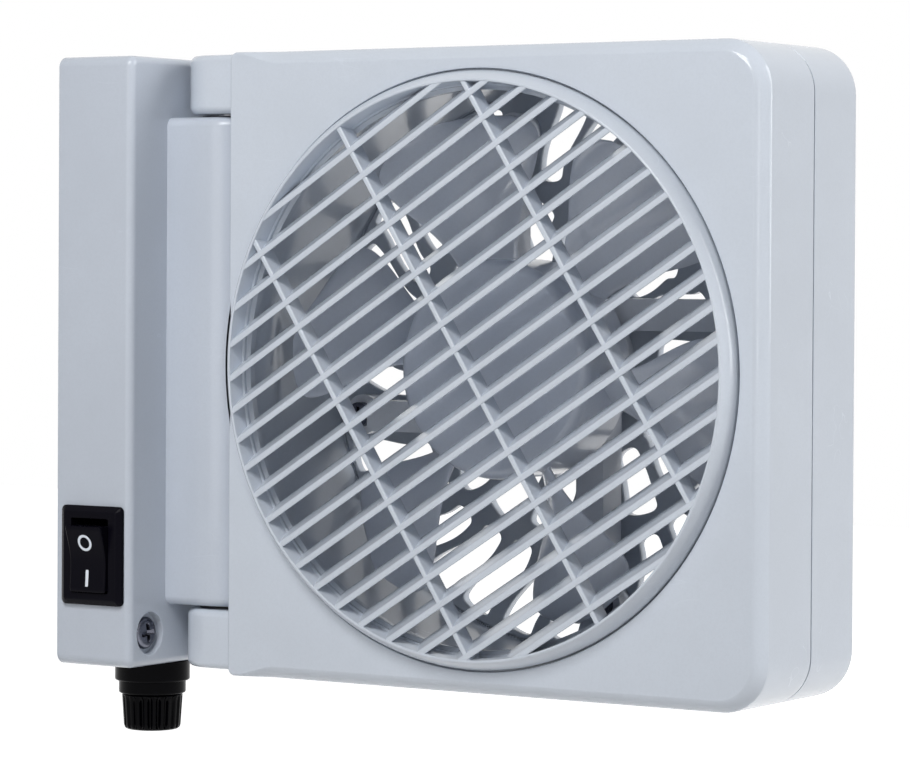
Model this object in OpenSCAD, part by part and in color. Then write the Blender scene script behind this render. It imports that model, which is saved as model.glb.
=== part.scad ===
// Bunk fan for a boat: an upright base on a bulkhead, and a square head on a vertical hinge.
// X runs away from the bulkhead, -Y is the front, Z is up. The origin is the middle of the
// mounting face, level with the hinge axis.

/* [Base] */
// Width of the base, from the bulkhead to its right side face
base_w = 19.3; // [18.6:0.1:24]
// Depth of the base, front to back
base_d = 41; // [40:0.5:50]
// Height of the base
base_h = 126.6; // [122:0.2:150]
// Wall of the base housing
base_wall = 2; // [1.6:0.1:2.4]
// Rounding of the base's long edges
base_edge_r = 1.6; // [0.6:0.1:2]
// Rounding of the base's corners, seen from the front
base_corner_r = 2.2; // [0.6:0.1:3]
// Thickness of the mounting plate
plate_t = 2.2; // [1.6:0.1:2.4]
// Distance between the two mounting holes
mount_pitch = 90; // [84:1:96]
// Diameter of a mounting hole
mount_hole_d = 4.4; // [3.5:0.1:5]
// Diameter of the wire hole in the mounting plate
wire_hole_d = 8; // [6:0.5:9]

/* [Hinge] */
// Distance of the hinge axis from the bulkhead
hinge_x = 29.5; // [29:0.1:35]
// Radius of the hinge barrel
barrel_r = 8.4; // [8:0.1:8.8]
// Height of the tongue, which is the middle of the hinge
tongue_h = 101.6; // [96:0.2:104]
// Gap between the tongue and each knuckle
knuckle_gap = 0.6; // [0.5:0.1:1]
// Diameter of a hinge pin
pin_d = 5; // [4:0.1:5.4]
// Running clearance on the radius of a hinge pin
pin_clear = 0.04; // [0.02:0.01:0.08]
// Length of a hinge bush
bush_l = 8; // [6:0.5:9]

/* [Head] */
// Width of the head without its knuckles
head_w = 125; // [124.6:0.2:135]
// Height of the head
head_h = 128.4; // [126:0.2:140]
// Distance of the front face in front of the hinge axis
head_front = 9.5; // [9.3:0.1:11]
// Depth of the front shell
front_depth = 20; // [19.5:0.1:22]
// Depth of the rear shell
rear_depth = 18.7; // [18.5:0.1:22]
// Wall of both shells
head_wall = 2.2; // [1.8:0.1:2.4]
// Rounding of the head's front edges
front_edge_r = 2.6; // [1:0.1:3]
// Rounding of the head's rear edges
rear_edge_r = 1.8; // [0.6:0.1:2.4]
// Radius of the two right-hand corners, seen from the front
right_corner_r = 9.8; // [5:0.1:11]
// Radius of the two left-hand corners, seen from the front
left_corner_r = 2; // [1:0.1:3]

/* [Louvre grille] */
// Distance of the fan axis from the head's left side
fan_inset = 60; // [59.9:0.1:62]
// Radius of the grille's flange
grille_r = 59.2; // [58.4:0.1:59.3]
// Height of the grille above the front face
grille_proud = 3; // [2:0.1:4]
// Distance between slats
slat_pitch = 5.86; // [5:0.02:8]
// Thickness of a slat
slat_t = 1.3; // [1:0.1:1.8]
// Depth of a slat
slat_depth = 5.4; // [4:0.1:5.6]
// Backward lean of the slats in degrees
slat_lean = 27; // [0:1:35]
// Angle of the slats to the horizontal, as the photographed fan has them turned
slat_turn = 32.4; // [0:0.1:90]
// Distance between the cross ribs
rib_pitch = 29.7; // [20:0.1:34]
// Thickness of a cross rib
rib_t = 1.1; // [0.8:0.1:2]

/* [Rear grille] */
// Number of slots in the inner ring
slots_inner = 18; // [8:1:18]
// Number of places in the outer ring of slots; every quarter leaves one of them solid for a boss
slots_outer = 32; // [16:4:32]
// Width of a slot at its inner end
slot_w = 5.3; // [4:0.1:5.6]

/* [Fan] */
// Radius over the blade tips
tip_r = 52.5; // [48:0.1:53.6]
// Radius of the hub
hub_r = 22; // [21:0.1:24]
// Number of blades
blade_n = 6; // [3:1:7]
// Half of the angle that a blade covers
blade_half = 22; // [12:0.5:23]
// Thickness of a blade
blade_t = 1.5; // [1:0.1:2]
// Depth of the blades at the tip
blade_depth = 15; // [10:0.5:15.5]
// Angle of the first blade above the horizontal
blade_start = 45; // [0:1:359]

/* [Motor] */
// Radius of the motor can
can_r = 13.9; // [13.5:0.1:14.5]
// Length of the motor can
can_l = 17; // [16:0.1:17.5]
// Diameter of the motor shaft
shaft_d = 2; // [1.5:0.1:2.4]
// Offset of the mount's arms from the fan axis
arm_offset = 11; // [8:0.5:12]
// Width of an arm of the motor mount
arm_w = 6.4; // [5:0.1:7]

/* [Switch] */
// Width of the switch bezel
bezel_w = 16.2; // [15:0.1:16.6]
// Height of the switch bezel
bezel_h = 21; // [20:0.1:22]
// Height of the bezel above the base's front face
bezel_t = 1.6; // [1.2:0.1:2]
// Height of the switch's middle above the base's lower end
switch_up = 23.1; // [22:0.1:29]
// Swing of the rocker between off and on, in degrees
rocker_swing = 14; // [8:1:14]

/* [Fuse holder] */
// Diameter of the fuse holder's flange
flange_d = 15.9; // [15:0.1:17]
// Diameter of the knurled cap at its top
cap_d = 12.9; // [12:0.1:13.4]
// Diameter of the knurled cap at its lower end
cap_end_d = 11.9; // [11:0.1:12]
// Length of the knurled cap
cap_l = 7.7; // [7:0.1:9]

/* [Screws] */
// Diameter of the two base screws' heads
base_head_d = 6.7; // [6:0.1:7]
// Diameter of the recess round a base screw's head
base_recess_d = 8.8; // [8:0.1:9]
// Core diameter of the screws
screw_d = 2.9; // [2.4:0.1:3]

/* [Hidden] */
$fn = 96;
tiny = 0.01;
// Seat between loose flat faces, and clearance round a piece that drops into place
seat = 0.1;
drop = 0.3;

shell_grey = [0.79, 0.82, 0.87];
black = [0.07, 0.07, 0.09];
steel = [0.72, 0.73, 0.75];
brass = [0.78, 0.64, 0.33];
copper = [0.75, 0.42, 0.25];

// Base
cavity_w = base_w - base_wall;
cavity_d = base_d - 2 * base_wall;
cavity_h = base_h - 2 * base_wall;
plate_d = cavity_d - 2 * drop;
plate_h = cavity_h - 2 * drop;
screw_hole_r = screw_d / 2 + 0.05;
base_screw_r = base_recess_d / 2 + 1.2;
base_screw_y = cavity_d / 2 - 5;
base_screw_z = cavity_h / 2 - 4.9;
recess_depth = 2.4;
recess_floor = base_w - recess_depth;
post_end = recess_floor - 2.4;
wire_z = 12;

// Hinge
tongue_z = tongue_h / 2;
knuckle_z = tongue_z + knuckle_gap;
knuckle_top = head_h / 2 - 0.6;
bush_r = pin_d / 2 + 1.5;
pin_low = tongue_z - bush_l + 0.2;
pin_high = knuckle_top - 4.6;
recess_r = barrel_r + 0.9;
recess_wall_r = recess_r + 1.1;

// Head
head_x0 = hinge_x + 6.5;
head_x1 = head_x0 + head_w;
seam_y = front_depth - head_front;
back_y = seam_y + rear_depth;
face_t = 2.6;
face_back = face_t - head_front;
fan_x = head_x0 + fan_inset;
duct_r = 58;
duct_wall = 1.2;
back_t = 2.5;
back_in = back_y - back_t;
boss_r = 4.6;
fan_wire_z = -31;
boss_z = head_h / 2 - 8.2;
boss_x_left = head_x0 + 8.4;
boss_x_right = head_x1 - 8.8;

// Louvre grille
rest_back = 1.5 - head_front;
skirt_r = grille_r - 2.6;
skirt_back = face_back + 1;
grille_front = -head_front - grille_proud;
hook_front = face_back + 0.08;
hook_t = 0.82;

// Fan and motor
blade_back = face_back + 6.9 + blade_depth;
blade_mid = blade_back - blade_depth / 2;
hub_front = blade_back - blade_depth - 1.6;
hub_back = blade_back - 1;
can_front = hub_front + 7;
can_back = can_front + can_l;
cap_t = 2;
end_cap_back = can_back + cap_t;
mount_wall_t = 2.2;
mount_back = end_cap_back + mount_wall_t;
cup_r = can_r + 0.1;
cup_out = cup_r + 2;
arm_front = blade_back + 2.2;
arm_end = 48;
shaft_r = shaft_d / 2;

// Switch
switch_x = base_w / 2 + 0.25;
switch_z = switch_up - base_h / 2;
case_w = bezel_w - 3.2;
case_h = bezel_h - 1.8;
case_depth = 12;
front_y = -base_d / 2;
well_w = 9.6;
well_h = 15.4;
pivot_y = front_y + 2.5;
rocker_w = well_w - 0.4;
rocker_h = 13.8;

// Fuse holder
fuse_x = base_w / 2;
bottom_z = -base_h / 2;
flange_h = 4.5;
step_h = 2.7;
thread_r = 6;
bore_r = 4.6;
cap_top = bottom_z - flange_h - step_h;
cap_end = cap_top - cap_l;
cap_floor = cap_end + 4;
fuse_low = cap_floor + 3.8;
fuse_l = 20;
fuse_top = fuse_low + fuse_l;
contact_t = 0.8;
barrel_top = fuse_top + seat + contact_t + 2;
fuse_r = 2.6;
glass_r = 2.3;

// Rectangle between two corners, with one radius at its left and one at its right corners
module round_rect(x0, y0, x1, y1, left_r, right_r) {
  translate([x0 + left_r, y0]) square([x1 - x0 - left_r - right_r, y1 - y0]);
  translate([x0, y0 + left_r]) square([left_r + tiny, y1 - y0 - 2 * left_r]);
  translate([x1 - right_r - tiny, y0 + right_r]) square([right_r + tiny, y1 - y0 - 2 * right_r]);
  for (y = [y0 + left_r, y1 - left_r]) translate([x0 + left_r, y]) circle(left_r);
  for (y = [y0 + right_r, y1 - right_r]) translate([x1 - right_r, y]) circle(right_r);
}

// Cylinder along Y between two depths
module along_y(r, y0, y1) {
  translate([0, y0, 0]) rotate([-90, 0, 0]) cylinder(r = r, h = y1 - y0);
}

// Cylinder along X between two places
module along_x(r, x0, x1) {
  translate([x0, 0, 0]) rotate([0, 90, 0]) cylinder(r = r, h = x1 - x0);
}

// Outline drawn in X and Z, made solid between two depths
module slab_y(y0, y1) {
  translate([0, y1, 0]) rotate([90, 0, 0]) linear_extrude(y1 - y0) children();
}

// Box between two corners
module block(a, b) {
  translate(a) cube(b - a);
}

// Round wire through a list of points
module wire(points, r) {
  for (i = [0 : len(points) - 2]) {
    d = points[i + 1] - points[i];
    l = norm(d);
    translate(points[i]) rotate([0, acos(d.z / l), atan2(d.y, d.x)]) cylinder(r = r, h = l, $fn = 24);
  }
  if (len(points) > 2)
    for (i = [1 : len(points) - 2]) translate(points[i]) sphere(r * 1.25, $fn = 24);
}

// Cross-recessed pan head with its shank, along +X from the underside of the head
module pan_screw(head_r, head_h, core_r, shank_l) {
  difference() {
    along_x(head_r, 0, head_h);
    for (a = [0, 90]) rotate([a, 0, 0])
      block([head_h * 0.35, -head_r * 0.62, -head_r * 0.13], [head_h + 1, head_r * 0.62, head_r * 0.13]);
  }
  along_x(core_r, -shank_l, tiny);
}

// Places of the two base screws, the second one behind at the top
module at_base_screws() {
  for (s = [-1, 1]) translate([0, s * base_screw_y, s * base_screw_z]) children();
}

// Places of the four corner screws of the head
module at_bosses() {
  for (x = [boss_x_left, boss_x_right])
    for (z = [-boss_z, boss_z]) translate([x, 0, z]) children();
}

// Places of the four arms of the motor mount, turned about the fan axis
module at_arms() {
  for (a = [0, 90, 180, 270]) translate([fan_x, 0, 0]) rotate([0, a, 0]) children();
}

// Mounting plate: closes the base and takes the two mounting screws
module mounting_plate() {
  color(shell_grey) difference() {
    translate([0, 0, -plate_h / 2]) linear_extrude(plate_h) translate([0, -plate_d / 2])
      square([plate_t, plate_d]);
    for (s = [-1, 1]) translate([0, 0, s * mount_pitch / 2]) along_x(mount_hole_d / 2, -1, plate_t + 1);
    translate([0, 0, wire_z]) along_x(wire_hole_d / 2, -1, plate_t + 1);
  }
}

// Two posts on the mounting plate, which take the base screws
module screw_posts() {
  color(shell_grey) at_base_screws() difference() {
    along_x(3.6, plate_t, post_end);
    along_x(screw_hole_r, plate_t + 2, post_end + 1);
  }
}

// Rubber bush in the wire hole
module cable_grommet() {
  color(black) translate([0, 0, wire_z]) difference() {
    union() {
      along_x(wire_hole_d / 2, 0.3, plate_t);
      along_x(wire_hole_d / 2 + 1.4, plate_t, plate_t + 1.2);
    }
    along_x(wire_hole_d / 2 - 1.4, 0, plate_t + 2);
  }
}

block_z = wire_z + 20;
block_h = 14;
block_d = 16;
block_top = plate_t + 9.8;

// Two-way terminal block on the mounting plate
module terminal_block() {
  color([0.92, 0.92, 0.9]) difference() {
    block([plate_t, -block_d / 2, block_z - block_h / 2], [block_top, block_d / 2, block_z + block_h / 2]);
    for (y = [-4, 4]) {
      translate([plate_t + 4.4, y, block_z]) cylinder(r = 1.5, h = block_h + 2, center = true);
      for (z = [-3.5, 3.5]) translate([0, y, block_z + z]) along_x(1.7, block_top - 4, block_top + 1);
    }
  }
}

// Four clamp screws of the terminal block
module terminal_screws() {
  color(brass) for (y = [-4, 4])
    for (z = [-3.5, 3.5]) translate([block_top - 1, y, block_z + z]) difference() {
      along_x(1.6, -3, 0);
      block([-0.8, -0.25, -2], [1, 0.25, 2]);
    }
}

// Outline of the hinge tongue, seen from above
module tongue_outline(r) {
  translate([base_w - base_wall, -r]) square([hinge_x - base_w + base_wall, 2 * r]);
  translate([hinge_x, 0]) circle(r);
}

// Base housing with the hinge tongue
module base_housing() {
  color(shell_grey) difference() {
    union() {
      intersection() {
        translate([0, 0, -base_h / 2]) linear_extrude(base_h)
          round_rect(0, -base_d / 2, base_w, base_d / 2, 0.8, base_edge_r);
        slab_y(-base_d / 2, base_d / 2)
          round_rect(0, -base_h / 2, base_w, base_h / 2, base_corner_r, base_corner_r);
      }
      translate([0, 0, -tongue_z]) linear_extrude(tongue_h) tongue_outline(barrel_r);
    }
    difference() {
      block([-1, -cavity_d / 2, -cavity_h / 2], [cavity_w, cavity_d / 2, cavity_h / 2]);
      at_base_screws() along_x(base_screw_r, post_end, base_w);
    }
    translate([0, 0, -tongue_z + bush_l + 2]) linear_extrude(tongue_h - 2 * bush_l - 4)
      tongue_outline(barrel_r - base_wall);
    block([hinge_x, -3, -8], [hinge_x + barrel_r + 1, 3, 8]);
    for (s = [0, 1]) mirror([0, 0, s]) translate([hinge_x, 0, tongue_z - bush_l])
      cylinder(r = bush_r, h = bush_l + 1);
    at_base_screws() {
      along_x(base_recess_d / 2, recess_floor, base_w + 1);
      along_x(screw_d / 2 + 0.45, 0, base_w);
    }
    block([switch_x - case_w / 2 - seat, front_y - 1, switch_z - case_h / 2 - seat],
      [switch_x + case_w / 2 + seat, front_y + base_wall + 1, switch_z + case_h / 2 + seat]);
    translate([fuse_x, 0, bottom_z - 1]) cylinder(r = thread_r + seat, h = base_wall + 2);
  }
}

// Two pan-head screws that hold the housing to the mounting plate
module base_screws() {
  color(steel) at_base_screws() translate([recess_floor, 0, 0])
    pan_screw(base_head_d / 2, 2, screw_d / 2, recess_floor - plate_t - 2.6);
}

// Nylon bushes in both ends of the tongue
module hinge_bushes() {
  color([0.9, 0.9, 0.86]) for (s = [0, 1]) mirror([0, 0, s])
    translate([hinge_x, 0, tongue_z - bush_l]) difference() {
      cylinder(r = bush_r, h = bush_l);
      translate([0, 0, -1]) cylinder(r = pin_d / 2 + pin_clear, h = bush_l + 2);
    }
}

// Bezel and case of the rocker switch
module switch_case() {
  color(black) difference() {
    union() {
      slab_y(front_y - bezel_t, front_y) round_rect(switch_x - bezel_w / 2, switch_z - bezel_h / 2,
        switch_x + bezel_w / 2, switch_z + bezel_h / 2, 0.8, 0.8);
      block([switch_x - case_w / 2, front_y - tiny, switch_z - case_h / 2],
        [switch_x + case_w / 2, front_y + case_depth, switch_z + case_h / 2]);
    }
    block([switch_x - well_w / 2, front_y - bezel_t - 1, switch_z - well_h / 2],
      [switch_x + well_w / 2, front_y + case_depth - 4.4, switch_z + well_h / 2]);
    translate([0, pivot_y, switch_z]) along_x(1.06, switch_x - well_w / 2 - 1.1, switch_x + well_w / 2 + 1.1);
  }
}

// Two push-on terminals of the switch
module switch_terminals() {
  color(brass) for (z = [switch_z - 1.8, switch_z + 5.2])
    block([switch_x - 2.4, front_y + case_depth, z - 0.4],
      [switch_x + 2.4, front_y + case_depth + 6, z + 0.4]);
}

// Height of the rocker's face above its pivot, lowest in the middle
function face_f(z) = 4.75 + 1.15 * pow(abs(z) / (rocker_h / 2), 1.4);

// Moves a piece drawn about the rocker's pivot to its place, with the I end pressed
module at_rocker() {
  translate([switch_x, pivot_y, switch_z]) rotate([rocker_swing / 2, 0, 0]) children();
}

// Rocker with a V-shaped face and two trunnions
module rocker() {
  h = rocker_h / 2;
  face = [for (i = [0 : 12]) [-face_f(h - i * h / 6), h - i * h / 6]];
  color(black) at_rocker() {
    translate([-rocker_w / 2, 0, 0]) rotate([90, 0, 90]) linear_extrude(rocker_w)
      polygon(concat(face, [[1, -h], [2.6, -h * 0.7], [2.6, h * 0.7], [1, h]]));
    along_x(1, -rocker_w / 2 - 0.9, rocker_w / 2 + 0.9);
  }
}

mark_z = 3.6;
mark_tilt = atan((face_f(mark_z + 1) - face_f(mark_z - 1)) / 2);
mark_t = 0.12;

// Printed O and I on the rocker
module rocker_marks() {
  color("white") at_rocker() {
    translate([0, -face_f(mark_z) - 0.05, mark_z]) rotate([mark_tilt, 0, 0]) difference() {
      along_y(1.75, -mark_t, 0);
      along_y(1.2, -mark_t - 1, 1);
    }
    translate([0, -face_f(mark_z) - 0.05, -mark_z]) rotate([-mark_tilt, 0, 0])
      block([-0.35, -mark_t, -1.7], [0.35, 0, 1.7]);
  }
}

// Flange and barrel of the fuse holder
module fuse_holder_body() {
  color(black) translate([fuse_x, 0, 0]) difference() {
    union() {
      translate([0, 0, bottom_z - flange_h]) cylinder(r = flange_d / 2, h = flange_h);
      translate([0, 0, cap_top]) cylinder(r = flange_d / 2 - 0.85, h = step_h + tiny);
      translate([0, 0, bottom_z - tiny]) cylinder(r = thread_r, h = barrel_top - bottom_z);
    }
    translate([0, 0, cap_top - 1]) cylinder(r = bore_r, h = barrel_top - 2 - cap_top + 1);
    block([-1.6, -0.5, barrel_top - 3], [1.6, 0.5, barrel_top + 1]);
  }
}

// Round nut that clamps the fuse holder from inside
module fuse_holder_nut() {
  nut_z = bottom_z + base_wall;
  color(black) translate([fuse_x, 0, nut_z]) difference() {
    cylinder(r = min(7.2, cavity_w / 2 - 1.3), h = 3.4);
    translate([0, 0, -1]) cylinder(r = thread_r, h = 6);
  }
}

// Contact at the top of the barrel, and the side contact's tag
module fuse_terminals() {
  color(brass) translate([fuse_x, 0, 0]) {
    translate([0, 0, fuse_top + seat]) cylinder(r = bore_r - 0.1, h = contact_t);
    block([-1.5, -0.4, fuse_top + seat + contact_t - tiny], [1.5, 0.4, barrel_top + 3.5]);
    block([-1.5, thread_r, barrel_top - 8], [1.5, thread_r + 0.8, barrel_top + 3]);
  }
}

// Knurled cap with the plug that carries the fuse
module fuse_cap() {
  ribs = 24;
  color(black) translate([fuse_x, 0, 0]) difference() {
    union() {
      translate([0, 0, cap_end]) cylinder(r1 = cap_end_d / 2 - 0.5, r2 = cap_d / 2 - 0.5, h = cap_l - 0.1);
      for (i = [0 : ribs - 1]) rotate([0, 0, i * 360 / ribs])
        translate([cap_end_d / 2 - 0.75, -0.45, cap_end + 0.8]) cube([0.75, 0.9, cap_l - 0.9]);
      translate([0, 0, cap_top - 0.2]) cylinder(r = bore_r - 0.2, h = 8);
    }
    translate([0, 0, cap_floor]) cylinder(r = fuse_r + 0.15, h = 20);
  }
}

// Contact spring in the cap, drawn as a sleeve
module fuse_spring() {
  color(steel) translate([fuse_x, 0, cap_floor]) difference() {
    cylinder(r = 2.4, h = fuse_low - cap_floor);
    translate([0, 0, -1]) cylinder(r = 1.9, h = fuse_low - cap_floor + 2);
  }
}

// Glass tube of the fuse
module fuse_glass() {
  color([0.8, 0.9, 0.9]) translate([fuse_x, 0, fuse_low + 0.5]) difference() {
    cylinder(r = glass_r, h = fuse_l - 1);
    translate([0, 0, -1]) cylinder(r = glass_r - 0.6, h = fuse_l + 2);
  }
}

// Metal end caps of the fuse, and the wire between them
module fuse_end_caps() {
  color(steel) translate([fuse_x, 0, fuse_low]) {
    for (z = [0, fuse_l - 5]) difference() {
      translate([0, 0, z]) cylinder(r = fuse_r, h = 5);
      translate([0, 0, 0.5]) cylinder(r = glass_r, h = fuse_l - 1);
    }
    translate([0, 0, 0.5]) cylinder(r = 0.2, h = fuse_l - 1, $fn = 16);
  }
}

// Wires from the terminal block to the fuse, the switch and the hinge
module base_wiring() {
  r = 0.8;
  low = block_z - block_h / 2;
  color([0.6, 0.1, 0.1]) wire([[plate_t + 4.4, 4, low - 0.1], [plate_t + 4.4, 4, -18],
    [fuse_x, 0.4 + r, barrel_top + 2.6]], r);
  color([0.1, 0.1, 0.1]) wire([[plate_t + 4.4, -4, low - 0.1], [plate_t + 4.4, -4.4, 6],
    [hinge_x - 6, -3, 2], [hinge_x + 2, -1.2, 1]], r);
  color([0.6, 0.1, 0.1]) wire([[switch_x, front_y + case_depth + 4, switch_z + 5.6 + r],
    [switch_x, -3, -12], [hinge_x - 6, 2, -3], [hinge_x + 2, 1.2, -3]], r);
}

// Outer form of the head between two depths, with its front or rear edges rounded
module head_form(y0, y1, front_r, back_r) {
  intersection() {
    slab_y(y0, y1) round_rect(head_x0, -head_h / 2, head_x1, head_h / 2, left_corner_r, right_corner_r);
    translate([0, 0, -head_h]) linear_extrude(2 * head_h)
      edge_outline(head_x0, head_x1, y0, y1, front_r, back_r);
    rotate([0, 90, 0]) linear_extrude(head_x1 + 1)
      edge_outline(-head_h / 2, head_h / 2, y0, y1, front_r, back_r);
  }
}

// Rectangle whose front corners and rear corners have their own radii
module edge_outline(x0, x1, y0, y1, front_r, back_r) {
  translate([(x0 + x1) / 2, 0]) rotate(90)
    round_rect(y0, -(x1 - x0) / 2, y1, (x1 - x0) / 2, front_r, back_r);
}

// Inside of the head's walls between two depths
module head_cavity(y0, y1) {
  slab_y(y0, y1) round_rect(head_x0 + head_wall, -head_h / 2 + head_wall, head_x1 - head_wall,
    head_h / 2 - head_wall, 0.5, right_corner_r - head_wall);
}

// Front half of the head: face, duct, hinge knuckles and the recess for the tongue
module front_shell() {
  color(shell_grey) difference() {
    union() {
      difference() {
        head_form(-head_front, seam_y, front_edge_r, 0.1);
        head_cavity(face_back, seam_y + 1);
        translate([fan_x, 0, 0]) along_y(duct_r, face_back, seam_y + 1);
      }
      translate([fan_x, 0, 0]) difference() {
        along_y(duct_r + duct_wall, face_back - tiny, seam_y);
        along_y(duct_r, face_back, seam_y + 1);
      }
      at_bosses() along_y(boss_r, face_back - tiny, seam_y);
      intersection() {
        translate([hinge_x, 0, -knuckle_z - 1.4]) cylinder(r = recess_wall_r, h = 2 * knuckle_z + 2.8);
        block([head_x0 + 1, -head_front + 1, -head_h / 2], [fan_x, seam_y, head_h / 2]);
      }
      for (s = [0, 1]) mirror([0, 0, s]) translate([0, 0, knuckle_z])
        linear_extrude(knuckle_top - knuckle_z) {
          translate([hinge_x, 0]) circle(barrel_r);
          translate([hinge_x, -barrel_r]) square([head_x0 - hinge_x + 1, 2 * barrel_r]);
        }
    }
    translate([fan_x, 0, 0]) {
      along_y(grille_r + 0.2, -head_front - 1, rest_back);
      along_y(skirt_r + 0.2, -head_front - 1, face_back + tiny);
    }
    translate([hinge_x, 0, -knuckle_z]) cylinder(r = recess_r, h = 2 * knuckle_z);
    for (s = [0, 1]) mirror([0, 0, s]) translate([hinge_x, 0, knuckle_z - 1])
      cylinder(r = pin_d / 2, h = pin_high - knuckle_z + 1);
    at_bosses() along_y(screw_hole_r, face_back + 2, seam_y + 1);
    block([head_x0, -2.5, fan_wire_z - 3], [hinge_x + recess_wall_r + 1, 2.5, fan_wire_z + 3]);
  }
}

// One slot of the rear grille: it drifts round the centre and widens on its way outwards, with
// round ends a little wider than the straight part
module grille_slot(r0, r1, w0, w1) {
  a = [r0, 0];
  b = [r1 * cos(slot_drift), -r1 * sin(slot_drift)];
  d = b - a;
  translate(a) rotate(atan2(d.y, d.x)) polygon([[0, -w0 * slot_neck], [norm(d), -w1 * slot_neck],
    [norm(d), w1 * slot_neck], [0, w0 * slot_neck]]);
  translate(a) circle(w0 / 2, $fn = 48);
  translate(b) circle(w1 / 2, $fn = 48);
}

disc_r = duct_r - 0.3;
slot_neck = 0.46;
slot_grow = [1.3, 1.45];
slot_drift = 8;
slot_inner_r = [cup_out + 6.5, cup_out + 17];
slot_outer_r = [cup_out + 25.2, duct_r - 4.6];
slot_first = atan(arm_offset / arm_end) + slot_drift * 0.6;

// Radius of the motor wires and the direction in which they leave the motor
head_wire_r = 0.65;
head_wire_a = 211;

// Rear half of the head, with a round opening for the rear grille
module rear_shell() {
  color(shell_grey) difference() {
    union() {
      difference() {
        head_form(seam_y, back_y, 0.1, rear_edge_r);
        head_cavity(seam_y - 1, back_in);
        translate([fan_x, 0, 0]) {
          along_y(duct_r, seam_y - 1, back_in);
          along_y(disc_r + seat, back_in - 1, back_y + 1);
        }
      }
      translate([fan_x, 0, 0]) difference() {
        along_y(duct_r + duct_wall, seam_y, back_in + tiny);
        along_y(duct_r, seam_y - 1, back_in + 1);
      }
      at_bosses() along_y(boss_r, seam_y, back_in + tiny);
    }
    at_bosses() {
      along_y(screw_d / 2 + 0.35, seam_y - 1, back_y + 1);
      along_y(3.2, seam_y + 6, back_y + 1);
    }
    translate([fan_x, 0, 0]) rotate([0, -head_wire_a, 0]) block([duct_r - 1, back_in - 2, -1],
      [duct_r + duct_wall + 2.4, back_in, 1]);
  }
}

// Round rear grille, which also carries the motor mount
module rear_grille() {
  color(shell_grey) difference() {
    translate([fan_x, 0, 0]) along_y(disc_r, back_in, back_y);
    slab_y(back_in - 1, back_y + 1) translate([fan_x, 0]) {
      for (i = [0 : slots_inner - 1]) rotate(i * 360 / slots_inner + 9)
        grille_slot(slot_inner_r[0], slot_inner_r[1], slot_w, slot_w * slot_grow[0]);
      for (i = [0 : slots_outer - 1]) if (i % (slots_outer / 4) != 0)
        rotate(slot_first + i * 360 / slots_outer)
          grille_slot(slot_outer_r[0], slot_outer_r[1], slot_w, slot_w * slot_grow[1]);
    }
    at_arms() translate([arm_end, 0, arm_offset]) along_y(1.25, back_in - 1, back_y - 1.2);
  }
}

// Four long screws that close the head from behind
module shell_screws() {
  color(steel) at_bosses() translate([0, seam_y + 6, 0]) rotate([0, 0, 90])
    pan_screw(2.8, 2.2, screw_d / 2, seam_y + 6 - face_back - 3);
}

// Two steel pins, pressed into the knuckles
module hinge_pins() {
  color(steel) for (s = [0, 1]) mirror([0, 0, s]) translate([hinge_x, 0, pin_low])
    cylinder(r = pin_d / 2, h = pin_high - pin_low);
}

// Friction washers between the knuckles and the tongue
module friction_washers() {
  color(steel) for (s = [0, 1]) mirror([0, 0, s])
    translate([hinge_x, 0, tongue_z + seat]) difference() {
      cylinder(r = pin_d / 2 + 3.4, h = knuckle_gap - seat);
      translate([0, 0, -1]) cylinder(r = pin_d / 2 + 0.1, h = knuckle_gap + 2);
    }
}

// Cup for the motor with four arms that pass the fan axis to one side
module motor_mount() {
  color(shell_grey) difference() {
    union() {
      translate([fan_x, 0, 0]) along_y(cup_out, hub_back + 2, mount_back);
      at_arms() {
        block([4, arm_front, arm_offset - arm_w / 2], [arm_end, end_cap_back, arm_offset + arm_w / 2]);
        translate([arm_end, 0, arm_offset]) along_y(4.2, end_cap_back - 2, mount_back);
      }
    }
    translate([fan_x, 0, 0]) {
      along_y(cup_r, hub_back, end_cap_back);
      along_y(4, hub_back, mount_back + 1);
      for (s = [-1, 1]) translate([s * 8, 0, 0]) {
        along_y(1.2, hub_back, mount_back + 1);
        along_y(2.2, mount_back - 1.3, mount_back + 1);
      }
    }
    at_arms() {
      block([arm_end - 4.6, arm_front - 1, arm_offset - 5], [arm_end + 6, end_cap_back - 2, arm_offset + 5]);
      block([cup_out + 1.5, arm_front + 1.4, arm_offset - arm_w / 2 + 1.3],
        [arm_end - 6, end_cap_back + 1, arm_offset + arm_w / 2 - 1.3]);
      translate([arm_end, 0, arm_offset]) along_y(1.5, arm_front, mount_back + 1);
    }
  }
}

// Four screws that hold the mount's arms
module mount_screws() {
  color(steel) at_arms() translate([arm_end, end_cap_back - 2, arm_offset]) rotate([0, 0, -90])
    pan_screw(2.6, 1.8, 1.2, 5.2);
}

// Steel can of the motor with its bearing nose
module motor_can() {
  color(steel) translate([fan_x, 0, 0]) difference() {
    union() {
      along_y(can_r, can_front, can_back);
      along_y(3.2, can_front - 1.2, can_front + 1);
    }
    along_y(can_r - 1, can_front + 1.2, can_back + 1);
    along_y(2.4, can_front - 2, can_front + 2);
  }
}

// Plastic end cap of the motor
module motor_end_cap() {
  color([0.85, 0.85, 0.82]) translate([fan_x, 0, 0]) difference() {
    along_y(can_r, can_back, end_cap_back);
    along_y(2.4, can_back - 1, end_cap_back + 1);
    for (s = [-1, 1]) translate([s * 8, 0, 0]) along_y(0.85, can_back - 1, end_cap_back + 1);
  }
}

// Two curved magnets inside the can
module motor_magnets() {
  color([0.2, 0.2, 0.22]) translate([fan_x, 0, 0]) difference() {
    along_y(can_r - 1, can_front + 3, can_back - 4);
    along_y(can_r - 4.6, can_front + 2, can_back);
    block([-20, can_front, -3], [20, can_back, 3]);
  }
}

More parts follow.
